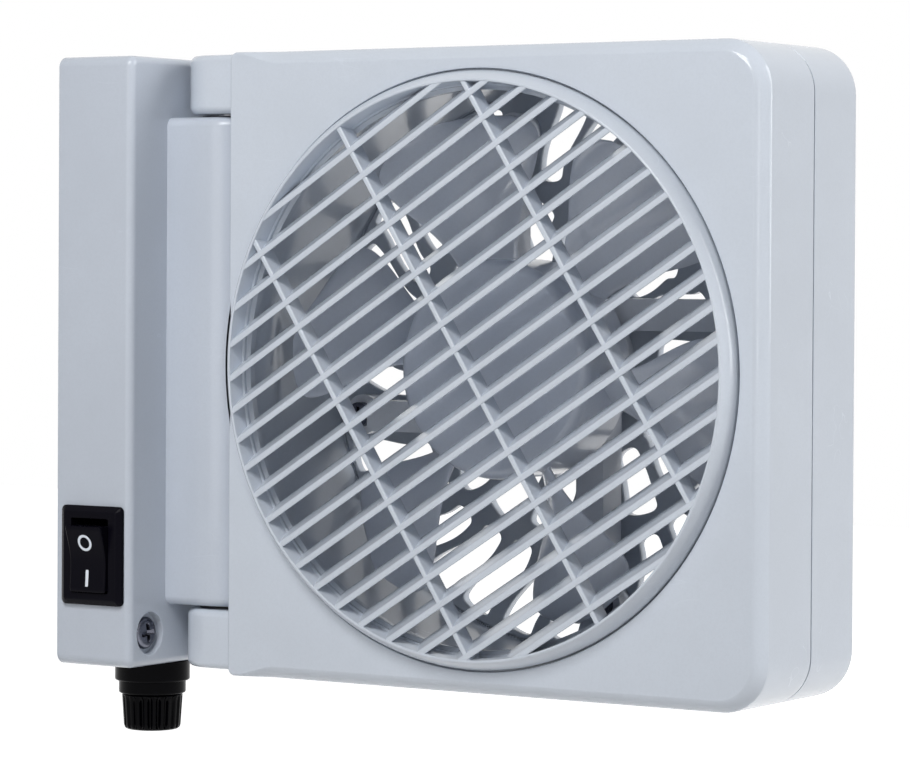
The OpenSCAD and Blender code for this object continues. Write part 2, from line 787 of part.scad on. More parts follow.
// Two carbon brushes on the end cap
module motor_brushes() {
  color([0.15, 0.15, 0.15]) for (a = [0, 180]) translate([fan_x, 0, 0]) rotate([0, a, 0])
    block([3.1, can_back - 2.2, -1.2], [6.6, can_back, 1.2]);
}

// Bearing bushes in the nose and in the end cap
module motor_bearings() {
  color(brass) translate([fan_x, 0, 0]) difference() {
    union() {
      along_y(2.4, can_front - 1.2, can_front + 1.2);
      along_y(2.4, can_back, end_cap_back);
    }
    along_y(shaft_r + 0.03, can_front - 3, end_cap_back + 1);
  }
}

// Two screws that hold the motor in its mount
module motor_screws() {
  color(steel) for (s = [-1, 1]) translate([fan_x + s * 8, mount_back - 1.3, 0]) rotate([0, 0, 90])
    pan_screw(2, 1.2, 0.8, 2.6);
}

// Motor wires: along the rear grille and forward between the duct and the hinge
module head_wiring() {
  y = back_in - head_wire_r - 0.3;
  out = duct_r + duct_wall + 1.2;
  color([0.1, 0.1, 0.1]) translate([fan_x, 0, 0]) wire([[(cup_out + 0.5) * cos(head_wire_a), y,
    (cup_out + 0.5) * sin(head_wire_a)], [out * cos(head_wire_a), y, out * sin(head_wire_a)],
    [out * cos(head_wire_a), 3, out * sin(head_wire_a)]], head_wire_r);
}

// Round louvre grille that turns in the front face
module louvre_grille() {
  reach = ceil(skirt_r / slat_pitch);
  offset_z = 1.25;
  shift = slat_depth * tan(slat_lean);
  half = grille_r + 5;
  color(shell_grey) translate([fan_x, 0, 0]) {
    rotate([-90, 0, 0]) rotate_extrude() polygon([
      [grille_r, rest_back - 0.05], [grille_r, -head_front - 0.2],
      [grille_r - 0.35, -head_front - grille_proud * 0.45], [grille_r - 0.9, grille_front + 0.45],
      [grille_r - 1.5, grille_front], [grille_r - 2, grille_front], [grille_r - 2.5, grille_front + 0.6],
      [skirt_r - 0.2, rest_back - 1.2], [skirt_r - 1.1, rest_back], [skirt_r - 1.1, skirt_back],
      [skirt_r, skirt_back], [skirt_r, rest_back - 0.05]]);
    for (a = [0, 90, 180, 270]) rotate([0, a + 22, 0]) intersection() {
      difference() {
        along_y(skirt_r + 1.1, hook_front, hook_front + hook_t);
        along_y(skirt_r - 0.3, hook_front - 1, hook_front + 3);
      }
      block([0, hook_front - 1, -7], [skirt_r + 3, hook_front + 3, 7]);
    }
    intersection() {
      union() {
        along_y(grille_r - 2.2, grille_front - 1, rest_back - 0.4);
        along_y(skirt_r - 0.7, grille_front - 1, skirt_back + 0.4);
      }
      rotate([0, -slat_turn, 0]) union() {
        for (k = [-reach : reach]) translate([-half, 0, -offset_z - k * slat_pitch])
          rotate([90, 0, 90]) linear_extrude(half * 2) polygon([[grille_front, -slat_t / 2],
            [grille_front, slat_t / 2], [grille_front + slat_depth, shift + slat_t / 2],
            [grille_front + slat_depth, shift - slat_t / 2]]);
        for (i = [-1 : 1]) block([i * rib_pitch - rib_t / 2, grille_front, -half],
          [i * rib_pitch + rib_t / 2, grille_front + slat_depth - 0.6, half]);
      }
    }
  }
}

// Share of the blade's half angle at a place between root and tip, round at the tip
function blade_span(u) = (0.66 + 0.34 * sin(90 * min(u / 0.72, 1)))
  * (u > 0.78 ? sqrt(1 - 0.86 * pow((u - 0.78) / 0.22, 3)) : 1);

// Point on the blade: u from root to tip, v from one edge to the other, w through its thickness
function blade_point(u, v, w) = let (
    r = hub_r - 1 + (tip_r - hub_r + 1) * u,
    a = blade_half * blade_span(u) * v,
    rise = blade_depth / 2 - 1,
    y = blade_mid - rise * v * blade_span(u) - 1.6 * (1 - v * v) + w * blade_t / 2)
  [r * cos(a), y, r * sin(a)];

// Impeller: domed hub with curved blades
module impeller() {
  nu = 12;
  nv = 10;
  row = nv + 1;
  face = (nu + 1) * row;
  pts = [for (w = [-1, 1]) for (i = [0 : nu]) for (j = [0 : nv]) blade_point(i / nu, 2 * j / nv - 1, w)];
  tris = concat(
    [for (i = [0 : nu - 1]) for (j = [0 : nv - 1]) let (a = i * row + j) each
      [[a, a + row + 1, a + row], [a, a + 1, a + row + 1]]],
    [for (i = [0 : nu - 1]) for (j = [0 : nv - 1]) let (a = face + i * row + j) each
      [[a, a + row, a + row + 1], [a, a + row + 1, a + 1]]],
    [for (i = [0 : nu - 1]) for (s = [0, nv]) let (a = i * row + s, b = a + row) each s == 0
      ? [[a, b + face, a + face], [a, b, b + face]] : [[a, a + face, b + face], [a, b + face, b]]],
    [for (j = [0 : nv - 1]) for (s = [0, nu]) let (a = s * row + j, b = a + 1) each s == 0
      ? [[a, a + face, b + face], [a, b + face, b]] : [[a, b + face, a + face], [a, b, b + face]]]);
  color([0.62, 0.65, 0.7]) translate([fan_x, 0, 0]) {
    for (i = [0 : blade_n - 1]) rotate([0, -blade_start - i * 360 / blade_n, 0]) polyhedron(pts, tris);
    rotate([-90, 0, 0]) rotate_extrude() polygon([
      [2.6, can_front - 1.6], [2.6, hub_front + 1.6], [0, hub_front + 1.6], [0, hub_front],
      [hub_r * 0.4, hub_front + 0.25], [hub_r * 0.7, hub_front + 1], [hub_r * 0.88, hub_front + 2.1],
      [hub_r * 0.97, hub_front + 3.6], [hub_r, hub_front + 5.6], [hub_r, hub_back],
      [hub_r - 1.6, hub_back], [hub_r - 1.6, hub_front + 6], [hub_r * 0.8, hub_front + 3.6],
      [4.6, hub_front + 2.2], [4.6, can_front - 1.6]]);
  }
}

// Brass insert that grips the shaft in the hub
module hub_insert() {
  color(brass) translate([fan_x, 0, 0]) difference() {
    along_y(2.6, hub_front + 1.6, can_front - 1.6);
    along_y(shaft_r, hub_front + 2.2, can_front);
  }
}

// Motor shaft
module motor_shaft() {
  color(steel) translate([fan_x, 0, 0]) along_y(shaft_r, hub_front + 2.2, end_cap_back - 0.3);
}

core_front = can_front + 3.4;
core_back = can_back - 4.4;

// Iron core of the armature with three poles
module armature_core() {
  color([0.45, 0.45, 0.47]) translate([fan_x, 0, 0]) difference() {
    union() {
      along_y(3, core_front, core_back);
      for (a = [0, 120, 240]) rotate([0, a, 0]) {
        block([2.2, core_front, -1.4], [7.6, core_back, 1.4]);
        intersection() {
          difference() {
            along_y(can_r - 5, core_front, core_back);
            along_y(can_r - 6.6, core_front - 1, core_back + 1);
          }
          block([0, core_front - 1, -6], [20, core_back + 1, 6]);
        }
      }
    }
    along_y(shaft_r, core_front - 1, core_back + 1);
  }
}

// Copper coils on the three poles
module armature_windings() {
  color(copper) translate([fan_x, 0, 0]) for (a = [0, 120, 240]) rotate([0, a, 0]) difference() {
    block([3.4, core_front - 1, -2.5], [6.6, core_back + 1, 2.5]);
    block([3, core_front, -1.4], [8, core_back, 1.4]);
  }
}

// Commutator at the rear end of the shaft
module commutator() {
  color(copper) translate([fan_x, 0, 0]) difference() {
    along_y(3, core_back + 1.2, can_back - 0.4);
    along_y(shaft_r, core_back, can_back + 1);
    for (a = [0, 120, 240]) rotate([0, a, 0])
      block([2, core_back, -0.2], [4, can_back + 1, 0.2]);
  }
}

mounting_plate();
cable_grommet();
terminal_block();
terminal_screws();
base_housing();
base_screws();
hinge_bushes();
switch_case();
switch_terminals();
rocker();
rocker_marks();
fuse_holder_body();
fuse_holder_nut();
fuse_terminals();
fuse_cap();
fuse_spring();
fuse_glass();
fuse_end_caps();
base_wiring();
front_shell();
rear_shell();
rear_grille();
screw_posts();
shell_screws();
hinge_pins();
friction_washers();
motor_mount();
mount_screws();
motor_can();
motor_end_cap();
motor_magnets();
motor_brushes();
motor_bearings();
motor_screws();
head_wiring();
louvre_grille();
impeller();
hub_insert();
motor_shaft();
armature_core();
armature_windings();
commutator();
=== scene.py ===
# %% [markdown]
# # A bulkhead fan for a boat
# This lesson dresses the CAD model of a small cabin fan: an upright base with a rocker switch and
# a fuse holder, and a square head that swings on a vertical hinge. The head holds a louvre grille
# that turns by hand, a six-bladed impeller and a motor. All numbers are metres in the CAD frame:
# X runs away from the bulkhead, -Y is the front and Z is up.

# %% Load the frame
import bmesh
import bpy
import math
import numpy as np
from mathutils import Matrix, Vector
from mathutils.geometry import delaunay_2d_cdt


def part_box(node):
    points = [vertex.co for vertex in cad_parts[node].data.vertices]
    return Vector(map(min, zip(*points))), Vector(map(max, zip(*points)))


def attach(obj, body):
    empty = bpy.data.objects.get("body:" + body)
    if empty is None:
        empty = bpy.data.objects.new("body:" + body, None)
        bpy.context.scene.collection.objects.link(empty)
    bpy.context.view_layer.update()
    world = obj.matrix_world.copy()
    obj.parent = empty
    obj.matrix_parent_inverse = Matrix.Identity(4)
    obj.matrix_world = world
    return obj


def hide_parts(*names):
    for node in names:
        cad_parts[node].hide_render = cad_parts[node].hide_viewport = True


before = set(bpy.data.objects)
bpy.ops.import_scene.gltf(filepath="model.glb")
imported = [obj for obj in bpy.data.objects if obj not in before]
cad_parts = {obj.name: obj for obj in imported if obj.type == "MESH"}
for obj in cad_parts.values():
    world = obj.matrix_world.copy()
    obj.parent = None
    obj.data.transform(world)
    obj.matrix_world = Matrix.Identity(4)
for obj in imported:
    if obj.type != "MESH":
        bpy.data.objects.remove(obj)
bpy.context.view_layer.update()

# %% [markdown]
# ## Camera
# The photograph was taken from the right of the front, almost level, with a long lens. The angle
# comes from how far the round grille is squeezed sideways, and the distance from how fast the
# horizontal edges run together. A small shift puts the object where the photograph has it.

# %% Camera
def aim(position, azimuth, down, roll):
    """Camera matrix. The view direction is the azimuth and the angle below the horizon turned
    into a unit vector; the right-hand direction is level, then rolled about the view."""
    a, e, r = np.radians([azimuth, down, roll])
    forward = np.array([-np.sin(a) * np.cos(e), np.cos(a) * np.cos(e), -np.sin(e)])
    right = np.array([np.cos(a), np.sin(a), 0.0])
    up = np.cross(right, forward)
    right, up = np.cos(r) * right + np.sin(r) * up, np.cos(r) * up - np.sin(r) * right
    m = Matrix(np.stack([right, up, -forward], 1).tolist()).to_4x4()
    m.translation = Vector(position)
    return m


PHOTO_W, FOCAL, SENSOR = 910, 3815.5, 36  # pixels, pixels, mm
lens = bpy.data.cameras.new("photo_camera")
lens.sensor_width = SENSOR
lens.lens = FOCAL * SENSOR / PHOTO_W
lens.shift_x, lens.shift_y = -1.3 / PHOTO_W, -69.3 / PHOTO_W
lens.clip_start, lens.clip_end = 0.05, 20
camera = bpy.data.objects.new("photo_camera", lens)
bpy.context.scene.collection.objects.link(camera)
camera.matrix_world = aim((0.5013, -0.6447, 0.0223), azimuth=32.80, down=0.84, roll=0.32)
bpy.context.scene.camera = camera
print("lens", round(lens.lens, 1), "mm")

# %% [markdown]
# ## How pieces are made
# A moulded part is a skin: closed loops of points, each a little further along a profile, joined
# by four-sided faces. Modelling it by hand with cuts would leave long thin faces that shade
# badly, so every loop here has the same number of points and its place is a formula. Only flat
# faces with holes are filled with triangles, where their layout cannot be seen.

# %% A form collects surfaces and becomes one piece
PIECES, SLOTS = {}, {}


class Form:
    """Points and faces of one piece, gathered surface by surface."""

    def __init__(self):
        self.points, self.faces, self.count = [], [], 0

    def add(self, points, faces):
        """Adds points (n, 3) and faces that index them."""
        self.points.append(np.asarray(points, float).reshape(-1, 3))
        self.faces += (np.asarray(faces) + self.count).tolist()
        self.count += len(self.points[-1])
        return self

    def skin(self, grid, around=True, along=False, skip=None):
        """Joins a grid of points (rows, columns, 3): each face takes four neighbours. Rows are
        closed to a ring with around, and the last row meets the first with along. Faces whose
        middle passes the test skip are left out."""
        grid = np.asarray(grid, float)
        m, n = grid.shape[:2]
        i = np.arange(m if along else m - 1)[:, None]
        j = np.arange(n if around else n - 1)[None, :]
        a, b = i * n + j, i * n + (j + 1) % n
        c, d = (i + 1) % m * n + (j + 1) % n, (i + 1) % m * n + j
        points, faces = grid.reshape(-1, 3), np.stack([a, b, c, d], -1).reshape(-1, 4)
        if skip is not None:
            faces = faces[~skip(points[faces].mean(1))]
        return self.add(points, faces)

    def closed(self, grid):
        """A skin whose first and last loops get lids."""
        return self.skin(grid).lid(grid[0]).lid(grid[-1])

    def lid(self, loop):
        """Closes a loop that bulges nowhere inwards: triangles from its middle point."""
        loop = np.asarray(loop, float)
        n = len(loop)
        k = np.arange(n)
        return self.add(np.vstack([loop, loop.mean(0)]), np.stack([k, (k + 1) % n, k * 0 + n], -1))

    def plate(self, rim, holes, place):
        """Fills a flat face inside a rim and outside its holes, all drawn in two coordinates,
        which place turns to space. Triangles whose middle lies in a hole are left out."""
        loops = [rim] + list(holes)
        flat = np.vstack(loops)
        edges, at = [], 0
        for loop in loops:
            n = len(loop)
            edges += [(at + k, at + (k + 1) % n) for k in range(n)]
            at += n
        made = delaunay_2d_cdt([Vector(p) for p in flat.tolist()], edges, [], 1, 1e-9)
        pts = np.array([tuple(p) for p in made[0]])
        tri = np.array([f for f in made[2] if len(f) == 3])
        mid = pts[tri].mean(1)
        keep = inside(mid, rim)
        for hole in holes:
            near = np.linalg.norm(mid - hole.mean(0), axis=1) < np.ptp(hole, 0).max()
            keep[near] &= ~inside(mid[near], hole)
        return self.add(place(pts), tri[keep])

    def piece(self, name, body, replaced=(), slot=None, sharp=38, weld=2e-6):
        """Welds the surfaces, turns the faces outwards, marks edges sharper than an angle and
        puts the mesh on a CAD body."""
        mesh = bpy.data.meshes.new(name)
        mesh.from_pydata(np.vstack(self.points).tolist(), [], self.faces)
        bm = bmesh.new()
        bm.from_mesh(mesh)
        bmesh.ops.remove_doubles(bm, verts=bm.verts, dist=weld)
        bmesh.ops.dissolve_degenerate(bm, dist=weld / 2, edges=bm.edges)
        bmesh.ops.recalc_face_normals(bm, faces=bm.faces)
        limit = math.radians(sharp)
        open_edges = sum(1 for e in bm.edges if len(e.link_faces) != 2)
        for e in bm.edges:
            e.smooth = len(e.link_faces) == 2 and e.calc_face_angle() < limit
        for f in bm.faces:
            f.smooth = True
        bm.to_mesh(mesh)
        bm.free()
        o = bpy.data.objects.new(name, mesh)
        bpy.context.scene.collection.objects.link(o)
        even = o.modifiers.new("even_shading", "WEIGHTED_NORMAL")
        even.keep_sharp = True
        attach(o, body)
        if replaced:
            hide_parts(*replaced)
        PIECES[name] = o
        SLOTS[name] = slot
        note = f", {open_edges} open edges" if open_edges else ""
        print(f"{name}: {len(mesh.polygons)} faces{note}")
        return o


def inside(points, loop):
    """Whether each point is inside a closed loop: an odd number of its edges lie to the right."""
    if not len(points):
        return np.zeros(0, bool)
    x, y = points[:, 0][:, None], points[:, 1][:, None]
    a, b = loop, np.roll(loop, -1, 0)
    crosses = (a[None, :, 1] > y) != (b[None, :, 1] > y)
    rise = b[:, 1] - a[:, 1]
    rise = np.where(np.abs(rise) < 1e-15, 1e-15, rise)
    at = a[None, :, 0] + (y - a[None, :, 1]) / rise * (b[:, 0] - a[:, 0])
    return (crosses & (x < at)).sum(1) % 2 == 1

# %% Turning a profile, and the outline of a moulded box
def turned(profile, centre, axis="y", steps=96, wave=None):
    """Surface of revolution. Each profile point (radius, height) goes round the axis through
    centre: radius times cosine and sine of the angle, with the height along the axis. wave may
    change the radius with the angle and the row."""
    p = np.asarray(profile, float)
    t = np.linspace(0, 2 * np.pi, steps, endpoint=False)[None, :]
    r = p[:, :1] * np.ones_like(t)
    if wave is not None:
        r = wave(r, t, p)
    h = p[:, 1:] * np.ones_like(t)
    a, b = r * np.cos(t), r * np.sin(t)
    order = {"y": (a, h, b), "z": (a, b, h)}[axis]
    return np.stack(order, -1) + np.asarray(centre, float)


def rims(low, high, soft_low, soft_high, step=15):
    """Rows (inset, height) from low to high: both rims are quarter circles, so the inset is a
    radius times one minus the sine, and the height changes by one minus the cosine."""
    t = np.radians(np.arange(0, 91, step))
    rows = [(soft_low * (1 - np.sin(a)), low + soft_low * (1 - np.cos(a))) for a in t]
    return rows + [(soft_high * (1 - np.sin(a)), high - soft_high * (1 - np.cos(a)))
                   for a in t[::-1]]


def rounded(x0, z0, x1, z1, left, right, inset=0.0, corner=14, side=None):
    """Outline of a rectangle with round corners, anticlockwise from the lower right corner.
    Each corner is a quarter circle whose radius shrinks with the inset; side gives the places of
    the points on the four straight sides as shares of their length."""
    side = side if side is not None else [np.linspace(0, 1, 22)[1:-1]] * 4
    smallest = 0.00012
    arcs, out = [], []
    for x, z, r, start in ((x1, z0, right, 270), (x1, z1, right, 0), (x0, z1, left, 90),
                           (x0, z0, left, 180)):
        sx, sz = np.sign(x - (x0 + x1) / 2), np.sign(z - (z0 + z1) / 2)
        keep = max(r - inset, smallest)
        c = np.array([x - sx * (inset + keep), z - sz * (inset + keep)])
        t = np.radians(np.linspace(start, start + 90, corner))
        arcs.append(c + keep * np.stack([np.cos(t), np.sin(t)], -1))
    for k in range(4):
        a, b = arcs[k][-1], arcs[(k + 1) % 4][0]
        out += [arcs[k], a + side[k][:, None] * (b - a)]
    return np.vstack(out)


def at_depth(loop, y):
    """A loop drawn in X and Z, put at one depth Y."""
    return np.insert(loop, 1, y, axis=1)


def across(loop, x):
    """A loop drawn in Y and Z, put at one X."""
    return np.insert(loop, 0, x, axis=1)


def level(loop, z):
    """A loop drawn in X and Y, put at one height Z."""
    return np.insert(loop, 2, z, axis=1)


# %% [markdown]
# ## Front shell of the head
# The head is a square box of moulded plastic. Its front half has a large round hole, a step on
# which the louvre grille rests, and a duct behind it. One skin makes it all: it starts in the
# seam, runs forward over the side walls, turns the front edges, crosses the flat face and goes
# back down the duct. Each loop is either the outline, drawn in by an inset, or a circle whose
# points lie in the same directions from the fan axis. A front edge is part of a superellipse,
# nearly a chamfer with tight ends. It is wide at the top, bottom and right and narrow at the
# hinge, and one blends into the other near the corners.

# %% Sizes that several pieces share
FAN = np.array([0.096, 0.0, 0.0])
HEAD = dict(x0=0.0362, z0=-0.0642, x1=0.161, z1=0.0642, left=0.0016, right=0.0098)
FRONT, SEAM, BACK, BACK_IN = -0.0095, 0.0105, 0.0292, 0.0267
HINGE = np.array([0.0295, 0.0])
TONGUE_TOP, KNUCKLE_LOW, KNUCKLE_TOP = 0.0508, 0.0514, 0.0636
DUCT = 0.058


def even_angles(a, b, far, steps):
    """Shares along a straight side, at a distance far from the fan axis, that look evenly spaced
    in angle from there."""
    t = np.linspace(math.atan2(a, far), math.atan2(b, far), steps + 2)[1:-1]
    return (np.tan(t) * far - a) / (b - a)


right_far, top_far, left_far = HEAD["x1"] - FAN[0], HEAD["z1"], 0.06
reach = top_far - HEAD["right"]
right_side = even_angles(-reach, reach, right_far, 96)
top_side = even_angles(HEAD["right"] - right_far, left_far - 0.002, top_far, 110)
straight = 0.0622
left_side = even_angles(-straight, straight, left_far, 96)
scoop_edge = [(straight + s * KNUCKLE_LOW + d) / (2 * straight)
              for s in (-1, 1) for d in (-0.00001, 0.00001)]
left_side = np.sort(np.append(left_side, scoop_edge))
bottom_side = 1 - top_side[::-1]
SIDES = [right_side, top_side, left_side, bottom_side]


def outline(inset, y):
    """Loop of the head's outline, drawn in by an inset, at a depth."""
    return at_depth(rounded(**HEAD, inset=inset, side=SIDES), y)


base_outline = outline(0, 0)
DIRECTION = np.arctan2(base_outline[:, 2], base_outline[:, 0] - FAN[0])


def ring(radius, y):
    """Circle about the fan axis whose points lie in the directions of the outline's points."""
    way = np.stack([np.cos(DIRECTION), np.sin(DIRECTION)], -1)
    return at_depth(FAN[[0, 2]] + radius * way, y)


def scooped(loops, radius, half):
    """Pushes points out of a round scoop about the hinge axis: X becomes at least the hinge's X
    plus the root of radius squared minus Y squared, for heights within half."""
    loops = np.array(loops)
    y, z = loops[..., 1], loops[..., 2]
    edge = HINGE[0] + np.sqrt(np.maximum(radius ** 2 - y ** 2, 0))
    hit = (np.abs(z) < half) & (loops[..., 0] < edge) & (np.abs(y) < radius)
    loops[..., 0] = np.where(hit, edge, loops[..., 0])
    return loops


# %% Front shell
WIDE_EDGE, NARROW_EDGE, REBATE = 0.0026, 0.0005, 0.0009
side_rows = [outline(REBATE, SEAM), outline(REBATE, SEAM - 0.0003),
             outline(0.00018, SEAM - 0.0003), outline(0.00005, SEAM - 0.00036)]
side_rows += [outline(0, y) for y in np.linspace(SEAM - 0.00045, FRONT + WIDE_EDGE, 17)]
BLEND_FROM, BLEND_RUN = 0.047, 0.009
at_left = np.clip((BLEND_FROM - base_outline[:, :1]) / BLEND_RUN, 0, 1)
at_left = at_left * at_left * (3 - 2 * at_left)
fillet = []
for t in np.radians([0, 1.5, 4, 8, 14, 24, 38, 54, 68, 79, 86, 90]):
    wide, narrow = [outline(k * (1 - np.cos(t) ** p), FRONT + k * (1 - np.sin(t) ** p))
                    for k, p in ((WIDE_EDGE, 1.4), (NARROW_EDGE, 1.0))]
    fillet.append(wide + at_left * (narrow - wide))
hole = [ring(0.0606, FRONT), ring(0.06002, FRONT), ring(0.05975, FRONT + 0.00008),
        ring(0.05965, FRONT + 0.0003), ring(0.05965, FRONT + 0.0015), ring(0.0568, FRONT + 0.0015),
        ring(0.0568, FRONT + 0.0026), ring(DUCT, FRONT + 0.0027)]
duct = [ring(DUCT, y) for y in np.linspace(-0.0062, SEAM, 14)]
outer = scooped(np.array(side_rows + fillet), 0.0093, KNUCKLE_LOW)
inner = scooped(np.array(duct), 0.0104, 0.0528)
form = Form().skin(np.concatenate([outer, np.array(hole), inner]), along=True)
form.piece("head_front_shell", "head", ["front_shell"], "housing_plastic")

# %% [markdown]
# ## Rear shell and rear grille
# The back of the head holds a round grille of wavy cells, like the gaps between pebbles. Cutting
# them with tools would be slow to change, so each cell is a curve with a width: the middle line
# drifts round the fan axis and bends like an S, the width grows outwards, and both ends are flat
# ovals. The flat faces between the cells are filled around those loops.

# %% Cells of the rear grille
DRIFT, ARM_OFFSET, ARM_END = 8, 0.011, 0.048


def cell_loop(r0, r1, start, drift, bend, width0, width1, grow=0.0, n=20, soft_end=0.0017):
    """Outline of one cell in X and Z about the fan axis. Middle line: the radius goes from r0 to
    r1 while the angle falls by drift and swings by bend times a full sine. The half width grows
    evenly; near each end it follows a superellipse, so the corners are round and the end flat."""
    length = math.hypot(r1 - r0, math.radians(drift) * (r0 + r1) / 2)
    q = np.linspace(0, np.pi / 2, 9)
    near = (soft_end + grow) / length * (1 - np.cos(q) ** 0.8)
    over = grow / length
    u = np.concatenate([near - over, np.linspace(near[-1] - over, 1 - near[-1] + over, n)[1:-1],
                        1 + over - near[::-1]])
    rise = np.concatenate([np.sin(q) ** 0.8, np.ones(n - 2), np.sin(q)[::-1] ** 0.8])
    radius = r0 + (r1 - r0) * u
    angle = np.radians(start - drift * u + bend * np.sin(2 * np.pi * u))
    line = np.stack([radius * np.cos(angle), radius * np.sin(angle)], -1)
    fine = np.linspace(-0.05, 1.05, 200)
    fr = r0 + (r1 - r0) * fine
    fa = np.radians(start - drift * fine + bend * np.sin(2 * np.pi * fine))
    way = np.gradient(np.stack([fr * np.cos(fa), fr * np.sin(fa)], -1), axis=0)
    way /= np.linalg.norm(way, axis=1)[:, None]
    off = np.stack([np.interp(u, fine, way[:, 1]), -np.interp(u, fine, way[:, 0])], -1)
    half = (width0 + (width1 - width0) * u) / 2 + grow
    side = off * (half * rise)[:, None]
    return np.vstack([line + side, (line - side)[::-1][1:-1]]) + np.array([FAN[0], 0])


def cell_plan():
    """The cells of both rings as keyword sets: 18 inner ones, and 32 outer places of which every
    eighth stays solid for an arm of the motor mount. Sines of the number vary them."""
    inner, outer = 18, 32
    plan = [dict(r0=0.0216, r1=0.0346 + 0.0006 * np.sin(2.3 * i), start=9 + i * 360 / inner,
                 drift=DRIFT, bend=1.6 * np.sin(2.1 * i), width0=0.0049,
                 width1=0.0078 + 0.0003 * np.sin(3.7 * i)) for i in range(inner)]
    first = math.degrees(math.atan(ARM_OFFSET / ARM_END)) + DRIFT * 0.6
    for i in range(outer):
        if i % (outer // 4):
            plan.append(dict(r0=0.0387 - 0.0007 * np.sin(1.9 * i),
                             r1=0.0563 + 0.0003 * np.sin(2.3 * i), start=first + i * 360 / outer,
                             drift=DRIFT, bend=0.8 + 0.15 * np.sin(1.3 * i), width0=0.0047,
                             width1=0.0073 + 0.0002 * np.sin(2.9 * i)))
    return plan


CELLS = cell_plan()
print(len(CELLS), "cells")

# %% Rear shell and rear grille
def circle(centre, radius, steps=40):
    """Points round a circle in two coordinates."""
    t = np.linspace(0, 2 * np.pi, steps, endpoint=False)
    return np.stack([centre[0] + radius * np.cos(t), centre[1] + radius * np.sin(t)], -1)


BACK_EDGE, OPENING, DISC = 0.0018, 0.0578, 0.0577
side_rows = [outline(REBATE, SEAM), outline(0.00018, SEAM + 0.00001),
             outline(0.00004, SEAM + 0.00008)]
side_rows += [outline(0, y) for y in np.linspace(SEAM + 0.0003, BACK - BACK_EDGE, 6)]
fillet = [outline(BACK_EDGE * (1 - np.cos(t)), BACK - BACK_EDGE * (1 - np.sin(t)))
          for t in np.radians(np.arange(0, 91, 10))]
duct = [ring(DUCT, y) for y in np.linspace(BACK_IN, SEAM, 8)]
rim_rows = [ring(OPENING + 0.0002, BACK), ring(OPENING, BACK - 0.0002), ring(OPENING, BACK_IN)]
form = Form().skin(np.array(side_rows + fillet))
form.skin(np.concatenate([np.array(rim_rows + duct), np.array([side_rows[0]])]))
SHELL_SCREWS = [(x, z) for x in (0.0444, 0.1522) for z in (-0.056, 0.056)]
SCREW_WELL, WELL_FLOOR = 0.0032, SEAM + 0.006
shut = []
for spot in SHELL_SCREWS:
    wall = [at_depth(circle(spot, SCREW_WELL * k), y)
            for k, y in ((1.06, BACK), (1.0, BACK - 0.0002), (1.0, WELL_FLOOR))]
    form.skin(wall).lid(wall[-1])
    shut.append(circle(spot, SCREW_WELL * 1.06))
form.plate(fillet[-1][:, [0, 2]], [rim_rows[0][:, [0, 2]]] + shut, lambda p: at_depth(p, BACK))
form.piece("head_rear_shell", "head", ["rear_shell"], "housing_plastic")

soft = 0.00045
edge_turn = np.radians([0, 22, 45, 68, 90])
back_rows = [(soft * (1 - np.sin(t)), BACK - soft * (1 - np.cos(t))) for t in edge_turn]
front_rows = [(soft * (1 - np.sin(t)), BACK_IN + soft * (1 - np.cos(t))) for t in edge_turn]
edge = [at_depth(circle(FAN[[0, 2]], DISC - d, 360), y) for d, y in
        ((0.0003, BACK), (0, BACK - 0.0003), (0, BACK_IN + 0.0003), (0.0003, BACK_IN))]
form = Form().skin(edge)
for s in CELLS:
    form.skin([at_depth(cell_loop(**s, grow=g), y) for g, y in back_rows + front_rows[::-1]])
holes = [cell_loop(**s, grow=soft) for s in CELLS]
for loop, y in ((edge[0], BACK), (edge[-1], BACK_IN)):
    form.plate(loop[:, [0, 2]], holes, lambda p: at_depth(p, y))
form.piece("rear_grille_disc", "head", ["rear_grille"], "housing_plastic")

# %% [markdown]
# ## Hinge knuckles and tongue
# The head swings on a long tongue that grows from the base. Above and below it, two short
# knuckles of the front shell hold the pins. All three have the same outline seen from above: a
# half round end about the hinge axis and straight sides. Small rounded rims catch the light.
# In the photograph these and the base stand a fraction of a millimetre higher than the head.

# %% Tongue and knuckles
BARREL, UP, TONGUE_ROOT, KNUCKLE_ROOT = 0.0084, 0.0003, 0.0183, 0.0375


def tongue_loop(x_root, inset, z, steps=28):
    """Outline seen from above: a half circle of the barrel's radius, less an inset, about the
    hinge axis, with straight sides to the root. Its open side is sunk in the wall it grows from."""
    sign = 1 if x_root < HINGE[0] else -1
    t = np.radians(np.linspace(-90, 90, steps))
    k = BARREL - inset
    arc_pts = np.stack([HINGE[0] + sign * k * np.cos(t), k * np.sin(t)], -1)
    run = np.linspace(0, 1, 6)[1:][:, None]
    ends = [np.array([x_root, s * k]) for s in (1, -1)]
    loop = np.vstack([arc_pts, arc_pts[-1] + run * (ends[0] - arc_pts[-1]), ends[1],
                      (ends[1] + run * (arc_pts[0] - ends[1]))[:-1]])
    return level(loop, z)


def upright(name, body, x_root, z0, z1, edge0, edge1, replaced=()):
    """Stands an outline up between two heights, with rounded lower and upper rims."""
    loops = [tongue_loop(x_root, i, z) for i, z in rims(z0, z1, edge0, edge1)]
    form = Form().skin(loops)
    for loop in (loops[0], loops[-1]):
        form.plate(loop[:, :2], [], lambda p: level(p, loop[0, 2]))
    return form.piece(name, body, replaced, "housing_plastic")


upright("hinge_tongue", "base", TONGUE_ROOT, UP - TONGUE_TOP, UP + TONGUE_TOP, 0.0018, 0.0020)
upright("upper_knuckle", "head", KNUCKLE_ROOT, UP + KNUCKLE_LOW, UP + KNUCKLE_TOP, 0.0016, 0.0014)
upright("lower_knuckle", "head", KNUCKLE_ROOT, UP - KNUCKLE_TOP, UP - KNUCKLE_LOW, 0.0014, 0.0016)

